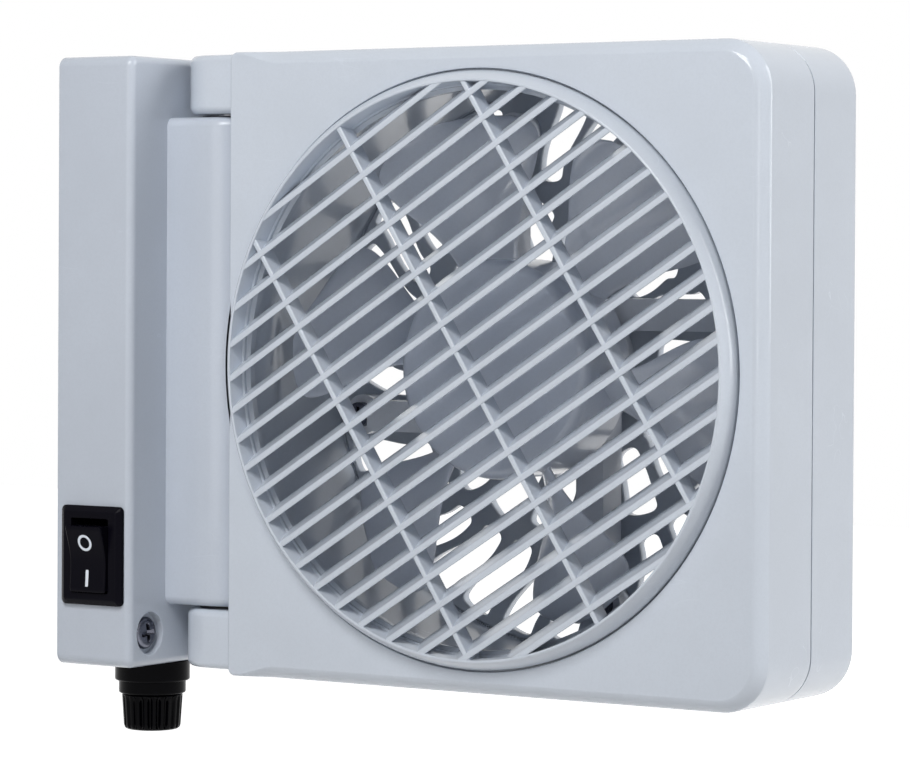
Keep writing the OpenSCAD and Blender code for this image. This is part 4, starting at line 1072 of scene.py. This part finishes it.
MATERIALS.update({
    "white_print": print_ink(),
    "rubber": rubbery("rubber", rgb(26, 26, 28)),
    "wire_insulation": rubbery("wire_insulation", rgb(34, 30, 30), 0.45, 0.12),
    "brass": metal("brass", rgb(214, 178, 104), 0.24, stain=(0.62, 0.5, 0.4)),
    # The base screws' steel is a darkened copy of the steel: painted dark reflection on the screw
    # heads.
    "screw_steel": metal("screw_steel", rgb(96, 98, 108), 0.20, (1, 6, 6), (0.3, 0.3, 0.34)),
    "steel": metal("steel", rgb(190, 192, 198), 0.26),
    "glass": fuse_glass(),
    "dark_steel": metal("dark_steel", rgb(52, 52, 58), 0.34),
    "magnet": rubbery("magnet", rgb(64, 64, 68), 0.5, 0.15),
    "carbon": rubbery("carbon", rgb(30, 30, 32), 0.55, 0.3),
    "core_iron": layered("core_iron", rgb(82, 82, 84), rgb(150, 150, 152), 0.0005, "Y", 0.32, 1.0),
    "copper": layered("copper", rgb(120, 56, 30), rgb(214, 128, 82), 0.00036, "Y", 0.22, 1.0),
})

# %% Give every piece and every node its material
# These swaps paint light and shade: the base gets its darker plastic and the motor's mount its
# lighter one, and the friction washers get dark steel in place of their own steel, painted shade in
# the gap between knuckle and tongue.
PAINTED_SWAPS = {"friction_washers": "dark_steel", "motor_mount": "lit_mount_plastic",
       "base_shell": "shaded_base_plastic", "wall_plate": "shaded_base_plastic", "hinge_tongue": "shaded_base_plastic"}
for name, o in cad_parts.items():
    wanted = PAINTED_SWAPS.get(name, o.data.materials[0].name.split(".")[0])
    o.data.materials.clear()
    o.data.materials.append(MATERIALS.get(wanted, MATERIALS["housing_plastic"]))
for name, o in PIECES.items():
    o.data.materials.append(MATERIALS[PAINTED_SWAPS.get(name, SLOTS[name])])
print({m: sum(o.data.materials[0].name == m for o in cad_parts.values()) for m in MATERIALS})

# %% [markdown]
# ## Light, floor and background
# The background is white only for rays that come from the camera or from shiny and clear
# surfaces; everything else is lit by a grey world, a soft lamp high at the front and one at the
# right. A weak wide lamp straight in front reaches the blades between the slats, and a narrow one
# near the camera draws the bright lines on the edges. The floor lies below and keeps the object's
# shadow.

# %% Light
scene = bpy.context.scene
scene.view_settings.view_transform = "Standard"


def lamp(name, place, target, size, watts):
    """Rectangular area lamp that faces a target."""
    data = bpy.data.lights.new(name, "AREA")
    data.shape, data.size, data.size_y, data.energy = "RECTANGLE", size[0], size[1], watts
    o = bpy.data.objects.new(name, data)
    scene.collection.objects.link(o)
    o.location = place
    o.rotation_euler = (Vector(target) - Vector(place)).to_track_quat("-Z", "Y").to_euler()


def direct_rays(tree):
    """An output that is 1 for rays from the camera and from glossy or clear surfaces, else 0."""
    path = tree.nodes.new("ShaderNodeLightPath")
    out = path.outputs["Is Camera Ray"]
    for kind in ("Is Glossy Ray", "Is Transmission Ray"):
        larger = tree.nodes.new("ShaderNodeMath")
        larger.operation = "MAXIMUM"
        tree.links.new(out, larger.inputs[0])
        tree.links.new(path.outputs[kind], larger.inputs[1])
        out = larger.outputs[0]
    return out


centre = (0.09, 0.0, 0.0)
lamp("soft_front", (0.16, -0.47, 0.42), centre, (0.28, 0.28), 2.85)
lamp("fill", (0.0, -0.9, 0.15), centre, (0.5, 0.5), 1.2)
lamp("soft_right", (1.25, 0.40, 0.45), centre, (0.5, 1.0), 10.8)
lamp("glint", (0.80, -0.71, 0.10), centre, (0.04, 0.35), 0.40)

world = bpy.data.worlds.new("room")
scene.world = world
world.use_nodes = True
nodes, links = world.node_tree.nodes, world.node_tree.links
strength = nodes.new("ShaderNodeMapRange")
strength.inputs["To Min"].default_value = 0.09
strength.inputs["To Max"].default_value = 1.0
links.new(direct_rays(world.node_tree), strength.inputs["Value"])
nodes["Background"].inputs["Color"].default_value = (1, 1, 1, 1)
links.new(strength.outputs[0], nodes["Background"].inputs["Strength"])

# %% Floor
WIDE, DOWN = 4, -0.34
mesh = bpy.data.meshes.new("floor")
mesh.from_pydata([(-WIDE, -WIDE, DOWN), (WIDE, -WIDE, DOWN), (WIDE, WIDE, DOWN),
                  (-WIDE, WIDE, DOWN)], [], [(0, 1, 2, 3)])
floor = bpy.data.objects.new("floor", mesh)
scene.collection.objects.link(floor)
m = Finish("floor_white", Roughness=0.8, Base_Color=(0.9, 0.9, 0.9, 1))
direct = Socket(m, direct_rays(m.tree))
m.set("Emission Color", m.blend(direct * 0.95, (0, 0, 0), (1, 1, 1)))
m.set("Emission Strength", 1.0)
floor.data.materials.append(m.material)
